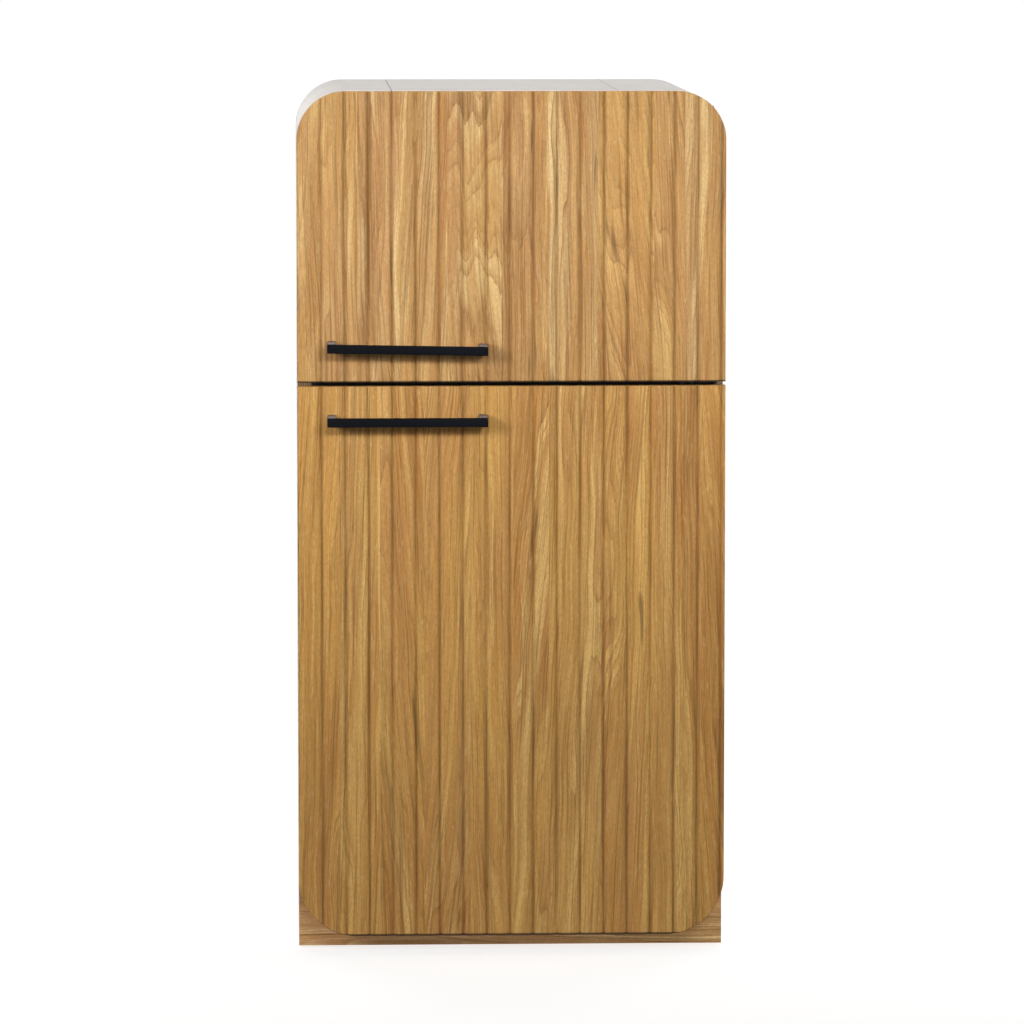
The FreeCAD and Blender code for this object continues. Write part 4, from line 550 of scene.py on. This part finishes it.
def door_mesh(low, high, front, back, low_radius, high_radius):
    """A fluted panel with eased edges, as rings of points round its outline and a grid inside."""
    rows = 30
    easing_steps = 5
    columns = door_columns(max(low_radius, high_radius))
    top = [door_edge(x, high, high_radius, 1) for x in columns]
    bottom = [door_edge(x, low, low_radius, -1) for x in columns]

    def side(x, start, end):
        inward = (-math.copysign(1.0, x), 0.0)
        step = (end - start) / rows
        return [((x, start + step * index), inward) for index in range(1, rows)]

    right = side(half_width, top[-1][0][1], bottom[-1][0][1])
    left = side(-half_width, bottom[0][0][1], top[0][0][1])
    loop = [*top, *right, *reversed(bottom), *left]

    mesh = bmesh.new()

    def ring(inset, drop, fluted):
        points = []
        for (x, z), (inward_x, inward_z) in loop:
            px, pz = x + inward_x * inset, z + inward_z * inset
            y = front + face_depth(px) + drop if fluted else back - drop
            points.append(mesh.verts.new((px, y, pz)))
        return points

    def band(first, second):
        for index in range(len(first)):
            after = (index + 1) % len(first)
            mesh.faces.new((first[index], first[after], second[after], second[index]))

    rings = []
    for step in range(easing_steps + 1):
        angle = math.pi / 2 * (1 - step / easing_steps)
        rings.append(ring(front_easing * (1 - math.cos(angle)),
                          front_easing * (1 - math.sin(angle)), True))
    rings.append(ring(0.0, back_easing, False))
    rings.append(ring(back_easing, 0.0, False))
    for first, second in zip(rings, rings[1:]):
        band(first, second)
    mesh.faces.new(rings[-1])

    width = len(columns)
    inner = rings[0]
    top_row = inner[:width]
    right_side = inner[width:width + rows - 1]
    bottom_row = inner[width + rows - 1:width * 2 + rows - 1][::-1]
    left_side = inner[width * 2 + rows - 1:][::-1]
    grid = [top_row]
    for row in range(1, rows):
        share = row / rows
        line = [left_side[row - 1]]
        for index in range(1, width - 1):
            place = top_row[index].co.lerp(bottom_row[index].co, share)
            place.y = front + face_depth(place.x)
            line.append(mesh.verts.new(place))
        line.append(right_side[row - 1])
        grid.append(line)
    grid.append(bottom_row)
    for upper, lower in zip(grid, grid[1:]):
        for index in range(width - 1):
            mesh.faces.new((upper[index], lower[index], lower[index + 1], upper[index + 1]))
    bmesh.ops.recalc_face_normals(mesh, faces=mesh.faces)
    return mesh


def fluted_door(which, finish, low_radius, high_radius):
    node = f"{which}_door_front"
    low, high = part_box(node)
    mesh = door_mesh(low.z, high.z, low.y, high.y, low_radius, high_radius)
    return new_piece(f"{which}_oak_front", mesh, f"{which}_door", "oak", finish, node)


fluted_door("upper", FINISHES["oak"], 0.0, upper_corner)
fluted_door("lower", OAK_LOWER, lower_corner, 0.0)


def bend(mesh, radius, segments):
    """Rounds all of a mesh's edges."""
    bmesh.ops.bevel(mesh, geom=mesh.edges[:], offset=radius, segments=segments,
                    profile=0.5, affect="EDGES", clamp_overlap=True)


def block(low, high, radius, segments):
    """A box with rounded edges, as a mesh."""
    mesh = bmesh.new()
    bmesh.ops.create_cube(mesh, size=1.0)
    for vert in mesh.verts:
        vert.co = Vector([a + (b - a) * (part + 0.5) for a, b, part in zip(low, high, vert.co)])
    bend(mesh, radius, segments)
    return mesh


def turned(profile, axis_point, axis, steps):
    """A turned solid: (radius, distance) pairs along an axis from a point."""
    mesh = bmesh.new()
    axis = Vector(axis).normalized()
    across = axis.orthogonal().normalized()
    other = axis.cross(across)
    rings = []
    for radius, distance in profile:
        centre = Vector(axis_point) + axis * distance
        if radius == 0.0:
            rings.append([mesh.verts.new(centre)])
            continue
        rings.append([mesh.verts.new(centre + radius * (
            across * math.cos(math.tau * step / steps) + other * math.sin(math.tau * step / steps)
        )) for step in range(steps)])
    for first, second in zip(rings, rings[1:]):
        for step in range(steps):
            after = (step + 1) % steps
            if len(first) == 1:
                mesh.faces.new((first[0], second[after], second[step]))
            elif len(second) == 1:
                mesh.faces.new((first[step], first[after], second[0]))
            else:
                mesh.faces.new((first[step], first[after], second[after], second[step]))
    bmesh.ops.recalc_face_normals(mesh, faces=mesh.faces)
    return mesh


def joined(*meshes):
    """Several meshes as one."""
    whole = meshes[0]
    for mesh in meshes[1:]:
        data = bpy.data.meshes.new("part")
        mesh.to_mesh(data)
        mesh.free()
        whole.from_mesh(data)
        bpy.data.meshes.remove(data)
    return whole


def bar_handle(which, drop):
    """A square bar, which drops by a little towards its right end, and its two posts."""
    node = f"{which}_handle"
    low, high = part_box(node)
    bar, post, rise = 11 * MM, 12 * MM, 3 * MM
    easing, post_easing = 0.9 * MM, 2.0 * MM
    play, into_bar = 0.1 * MM, 0.5 * MM
    top = high.z - rise
    bar_mesh = block((low.x, low.y, top - bar), (high.x, low.y + bar, top), easing, 3)
    for vert in bar_mesh.verts:
        vert.co.z -= drop * (vert.co.x - low.x) / (high.x - low.x)
    new_piece(f"{which}_bar", bar_mesh, f"{which}_door", "handle_black",
              FINISHES["handle_black"], node)
    posts = []
    for x, lower in ((low.x + post / 2, 0.0), (high.x - post / 2, drop)):
        posts.append(block((x - post / 2 + play, low.y + bar - into_bar,
                            top - bar - lower + easing),
                           (x + post / 2 - play, high.y, high.z - lower), post_easing, 5))
    new_piece(f"{which}_posts", joined(*posts), f"{which}_door", "handle_black", POST_REFLECTION, node)


def bellows(which):
    """A door's magnetic seal: a foot, a folded bellows and a soft round face."""
    node = f"{which}_door_gasket"
    low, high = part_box(node)
    rise = high.y - low.y
    # millimetres inward from the seal's outer edge, and from its foot towards its face
    drawn_rise = 6.7
    profile = ((0.0, 0.0), (0.4, 2.1), (1.0, 2.5), (3.3, 2.5), (3.9, 3.0), (3.3, 3.6), (3.5, 4.2),
               (4.3, 4.6), (3.6, 5.1), (3.8, 5.9), (4.6, 6.5), (5.6, 6.7), (8.0, 6.7),
               (10.4, 6.7), (11.4, 6.5), (12.2, 5.9), (12.4, 5.1), (11.7, 4.6), (12.5, 4.2),
               (12.7, 3.6), (12.1, 3.0), (12.7, 2.5), (15.0, 2.5), (15.6, 2.1), (16.0, 0.0))
    mesh = bmesh.new()
    rings = []
    for across, away in ((-1, -1), (1, -1), (1, 1), (-1, 1)):
        ring = []
        for inward, depth in profile:
            x = (low.x if across < 0 else high.x) - across * inward * MM
            z = (low.z if away < 0 else high.z) - away * inward * MM
            ring.append(mesh.verts.new((x, low.y + rise * depth / drawn_rise, z)))
        rings.append(ring)
    for index in range(4):
        first, second = rings[index], rings[(index + 1) % 4]
        for step in range(len(profile)):
            after = (step + 1) % len(profile)
            mesh.faces.new((first[step], second[step], second[after], first[after]))
    bmesh.ops.recalc_face_normals(mesh, faces=mesh.faces)
    return new_piece(f"{which}_door_seal", mesh, f"{which}_door", "seal_rubber",
                     FINISHES["seal_rubber"], node)


def ease_edges(node, width):
    """Rounds a solid's sharp edges by a little with modifiers."""
    piece = frame["nodes"][node]
    weld = piece.modifiers.new("weld", "WELD")
    weld.merge_threshold = 0.00001
    bevel = piece.modifiers.new("easing", "BEVEL")
    bevel.limit_method = "ANGLE"
    bevel.angle_limit = math.radians(35)
    bevel.width = width
    bevel.segments = 2
    bevel.use_clamp_overlap = True
    bevel.harden_normals = True


def screw_head(point, axis, radius):
    """A domed screw head with a round socket."""
    shares = ((0.0, 0.22), (0.34, 0.22), (0.40, 0.60), (0.60, 0.62), (0.84, 0.46), (0.96, 0.24),
              (1.0, 0.0))
    return turned([(radius * across, radius * along) for across, along in shares], point, axis, 24)


def back_screws():
    """The screws that hold the back panel to the cabinet's boards."""
    low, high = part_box("back_panel")
    inset = 9 * MM
    head_radius = 3.6 * MM
    top_places = (-150 * MM, -50 * MM, 50 * MM, 150 * MM)
    low_z, high_z = low.z + 40 * MM, high.z - 70 * MM
    side_gaps = 4
    places = [(x, low_z + (high_z - low_z) * step / side_gaps) for step in range(side_gaps + 1)
              for x in (low.x + inset, high.x - inset)]
    places += [(x, high.z - inset) for x in top_places]
    heads = [screw_head((x, high.y, z), (0, 1, 0), head_radius) for x, z in places]
    new_piece("back_panel_screws", joined(*heads), "cabinet", "hinge_steel",
              FINISHES["hinge_steel"])


def dial_marks():
    """Eight marks round the thermostat's knob, each longer than the last."""
    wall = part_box("control_housing")[0].x
    knob_low, knob_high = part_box("thermostat_knob")
    middle = (knob_low + knob_high) / 2
    radius = (knob_high.z - knob_low.z) / 2 + 2.2 * MM
    count, turn = 8, 270
    half, proud, sunk, easing = 0.5 * MM, 0.25 * MM, 0.05 * MM, 0.12 * MM
    marks = []
    for step in range(count):
        angle = math.radians(-turn / 2 + turn * step / (count - 1))
        length = (1.2 + 0.45 * step) * MM
        mark = block((-proud, -half, radius), (sunk, half, radius + length), easing, 2)
        bmesh.ops.rotate(mark, verts=mark.verts, cent=(0, 0, 0),
                         matrix=Matrix.Rotation(angle, 3, "X"))
        bmesh.ops.translate(mark, verts=mark.verts, vec=(wall, middle.y, middle.z))
        marks.append(mark)
    new_piece("dial_marks", joined(*marks), "cabinet", "black_plastic",
              FINISHES["black_plastic"])


def compressor_seam():
    """The weld bead round the compressor's shell and the bolts through its straps."""
    low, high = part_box("compressor")
    grommet_low, grommet_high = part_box("compressor_grommets")
    middle = (low + high) / 2
    height, radius, bead = 81.6 * MM, 62.8 * MM, 1.7 * MM
    sides, steps = 12, 96
    section = [(radius + bead * math.cos(math.tau * step / sides),
                height + bead * math.sin(math.tau * step / sides)) for step in range(sides + 1)]
    weld = turned(section, (middle.x, middle.y, 0.0), (0, 0, 1), steps)
    for index, vert in enumerate(weld.verts):
        vert.co.z += 0.25 * MM * math.sin(index % steps * 2.9)
    new_piece("compressor_weld", weld, "cabinet", "black_metal", FINISHES["black_metal"])
    bolts = []
    reach = 10 * MM
    profile = [(across * MM, along * MM) for across, along in (
        (0.0, 3.4), (4.4, 3.4), (5.0, 2.8), (5.0, 0.9), (7.0, 0.8), (7.0, 0.0))]
    for x in (grommet_low.x + reach, grommet_high.x - reach):
        for y in (grommet_low.y + reach, grommet_high.y - reach):
            bolts.append(turned(profile, (x, y, grommet_high.z), (0, 0, 1), 24))
    new_piece("compressor_bolts", joined(*bolts), "cabinet", "hinge_steel",
              FINISHES["hinge_steel"])


def bin_ribs(node, body, count):
    """A rolled rim and shallow ribs on the front wall of a door bin."""
    low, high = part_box(node)
    rim_inset, rib_inset = 1.0 * MM, 7 * MM
    rim_easing, rib_easing, rib = 0.9 * MM, 0.5 * MM, 2.2 * MM
    first, pitch = 0.30, 0.14  # shares of the bin's height
    ribs = [block((low.x + rim_inset, high.y - 1.8 * MM, high.z - 2.6 * MM),
                  (high.x - rim_inset, high.y + 0.7 * MM, high.z + 0.3 * MM), rim_easing, 4)]
    for step in range(count):
        z = low.z + (high.z - low.z) * (first + pitch * step)
        ribs.append(block((low.x + rib_inset, high.y - 0.4 * MM, z),
                          (high.x - rib_inset, high.y + 0.6 * MM, z + rib), rib_easing, 3))
    new_piece(f"{node}_ribs", joined(*ribs), body, "clear_plastic", FINISHES["clear_plastic"])


bar_handle("upper", 3.6 * MM)
bar_handle("lower", 0.0)
bellows("upper")
bellows("lower")
back_screws()
dial_marks()
compressor_seam()
bin_ribs("freezer_door_bin", "upper_door", 2)
bin_ribs("middle_bin", "lower_door", 2)
bin_ribs("bottle_bin", "lower_door", 3)

# solids with sharp edges, and each one's easing in millimetres
for node, width in (
    ("freezer_liner", 1.2), ("fridge_liner", 1.2), ("upper_door_liner", 1.0),
    ("lower_door_liner", 1.0), ("freezer_door_bin", 0.7), ("bottle_bin", 0.7),
    ("middle_bin", 0.7), ("dairy_bin", 0.7), ("dairy_lid", 0.7), ("crisper_drawer", 0.8),
    ("crisper_cover", 0.6), ("glass_shelves", 0.7), ("shelf_trims", 0.8),
    ("control_housing", 1.4), ("door_switch_housing", 0.8), ("thermostat_knob", 0.7),
    ("plinth_front", 0.8), ("left_side_wrap", 0.5), ("right_side_wrap", 0.5),
    ("upper_door_core", 0.8), ("lower_door_core", 0.8), ("top_hinge_bracket", 0.5),
    ("middle_hinge_bracket", 0.5), ("bottom_hinge_bracket", 0.5), ("back_panel", 0.6),
    ("base_pan", 0.6), ("bay_panel", 0.5), ("drip_tray", 0.8), ("relay_cover", 1.2),
    ("power_inlet", 0.6), ("fridge_evaporator", 0.5),
):
    ease_edges(node, width * MM)


# stage, light and camera

def area_light(name, place, target, size, power, spread):
    """A rectangular lamp, aimed at a point; size in metres, power in watts."""
    data = bpy.data.lights.new(name, "AREA")
    data.spread = math.radians(spread)
    data.shape = "RECTANGLE"
    data.size, data.size_y = size
    data.energy = power
    lamp = bpy.data.objects.new(name, data)
    bpy.context.scene.collection.objects.link(lamp)
    lamp.location = place
    lamp.rotation_euler = (Vector(target) - Vector(place)).to_track_quat("-Z", "Y").to_euler()


def seen_directly(nodes, links):
    """1 for camera, glossy and transmission rays."""
    path = nodes.new("ShaderNodeLightPath")
    total = path.outputs["Is Camera Ray"]
    for ray in ("Is Glossy Ray", "Is Transmission Ray"):
        step = nodes.new("ShaderNodeMath")
        step.operation = "MAXIMUM"
        links.new(total, step.inputs[0])
        links.new(path.outputs[ray], step.inputs[1])
        total = step.outputs[0]
    return total


def set_world(fill):
    """A world that is seen as white and lights the object by a share of that."""
    world = bpy.data.worlds.new("studio")
    bpy.context.scene.world = world
    world.use_nodes = True
    nodes, links = world.node_tree.nodes, world.node_tree.links
    background = nodes["Background"]
    background.inputs["Color"].default_value = (1, 1, 1, 1)
    level = nodes.new("ShaderNodeMapRange")
    links.new(seen_directly(nodes, links), level.inputs["Value"])
    level.inputs["To Min"].default_value = fill
    level.inputs["To Max"].default_value = 1.0
    links.new(level.outputs[0], background.inputs["Strength"])


def floor():
    """A pale floor that keeps the object's shadow near it and turns white away from it."""
    mesh = bmesh.new()
    reach = 60.0
    corners = ((-reach, -reach), (reach, -reach), (reach, reach), (-reach, reach))
    mesh.faces.new([mesh.verts.new((x, y, 0.0)) for x, y in corners])
    data = bpy.data.meshes.new("floor")
    mesh.to_mesh(data)
    mesh.free()
    piece = bpy.data.objects.new("floor", data)
    bpy.context.scene.collection.objects.link(piece)
    shade = Shade("studio_floor", 0.9, Specular_IOR_Level=0.0, Emission_Color=(1, 1, 1, 1))
    x, y, z = shade.axes()
    distance = shade.math("SQRT", shade.math("ADD", shade.math("MULTIPLY", x, x),
                                             shade.math("MULTIPLY", y, y)))
    near_edge, far_edge = 0.6, 2.2
    far = shade.range(distance, near_edge, far_edge)
    base = shade.mix(far, (0.45, 0.45, 0.45, 1), (0, 0, 0, 1))
    glow = shade.math("MULTIPLY_ADD", far, 0.28, 0.76)
    # close to the object the floor also gives back some light to it
    bounce = shade.range(distance, 0.35, 0.80, 0.34, 0.0)
    seen = seen_directly(shade.nodes, shade.links)
    glow = shade.math("MULTIPLY_ADD", shade.math("SUBTRACT", glow, bounce), seen, bounce)
    shade.put(shade.shader.inputs["Emission Strength"], glow)
    data.materials.append(shade.finish(base))


def camera():
    data = bpy.data.cameras.new("camera")
    data.lens = camera_lens
    data.clip_end = 200.0
    piece = bpy.data.objects.new("camera", data)
    bpy.context.scene.collection.objects.link(piece)
    piece.location = camera_place
    piece.rotation_euler = (math.pi / 2 + camera_pitch, 0.0, -camera_yaw)
    bpy.context.scene.camera = piece


set_world(0.15)
for lamp in (
    ("key", (-2.2, -2.7, 1.62), (0.0, -0.25, 1.06), (0.9, 0.9), 5.0, 47),
    ("wide", (0.6, -2.9, 1.74), (0.0, -0.25, 0.94), (2.6, 0.35), 7.0, 47),
    ("overhead", (0.0, 0.45, 3.1), (0.0, 0.1, 1.1), (1.4, 1.4), 17.0, 180),
    ("rear", (2.4, 3.2, 1.6), (0.0, 0.0, 0.6), (1.6, 1.6), 46.0, 180),
    ("rear_left", (-2.0, 3.4, 1.7), (0.0, 0.0, 0.6), (1.6, 1.6), 42.0, 180),
    ("right", (3.4, 0.3, 1.2), (0.0, 0.1, 0.6), (1.2, 1.2), 9.0, 90),
    ("left", (-3.4, 0.3, 1.2), (0.0, 0.1, 0.6), (1.2, 1.2), 5.0, 90),
):
    area_light(*lamp)
floor()
camera()

bpy.context.scene.view_settings.view_transform = "Standard"
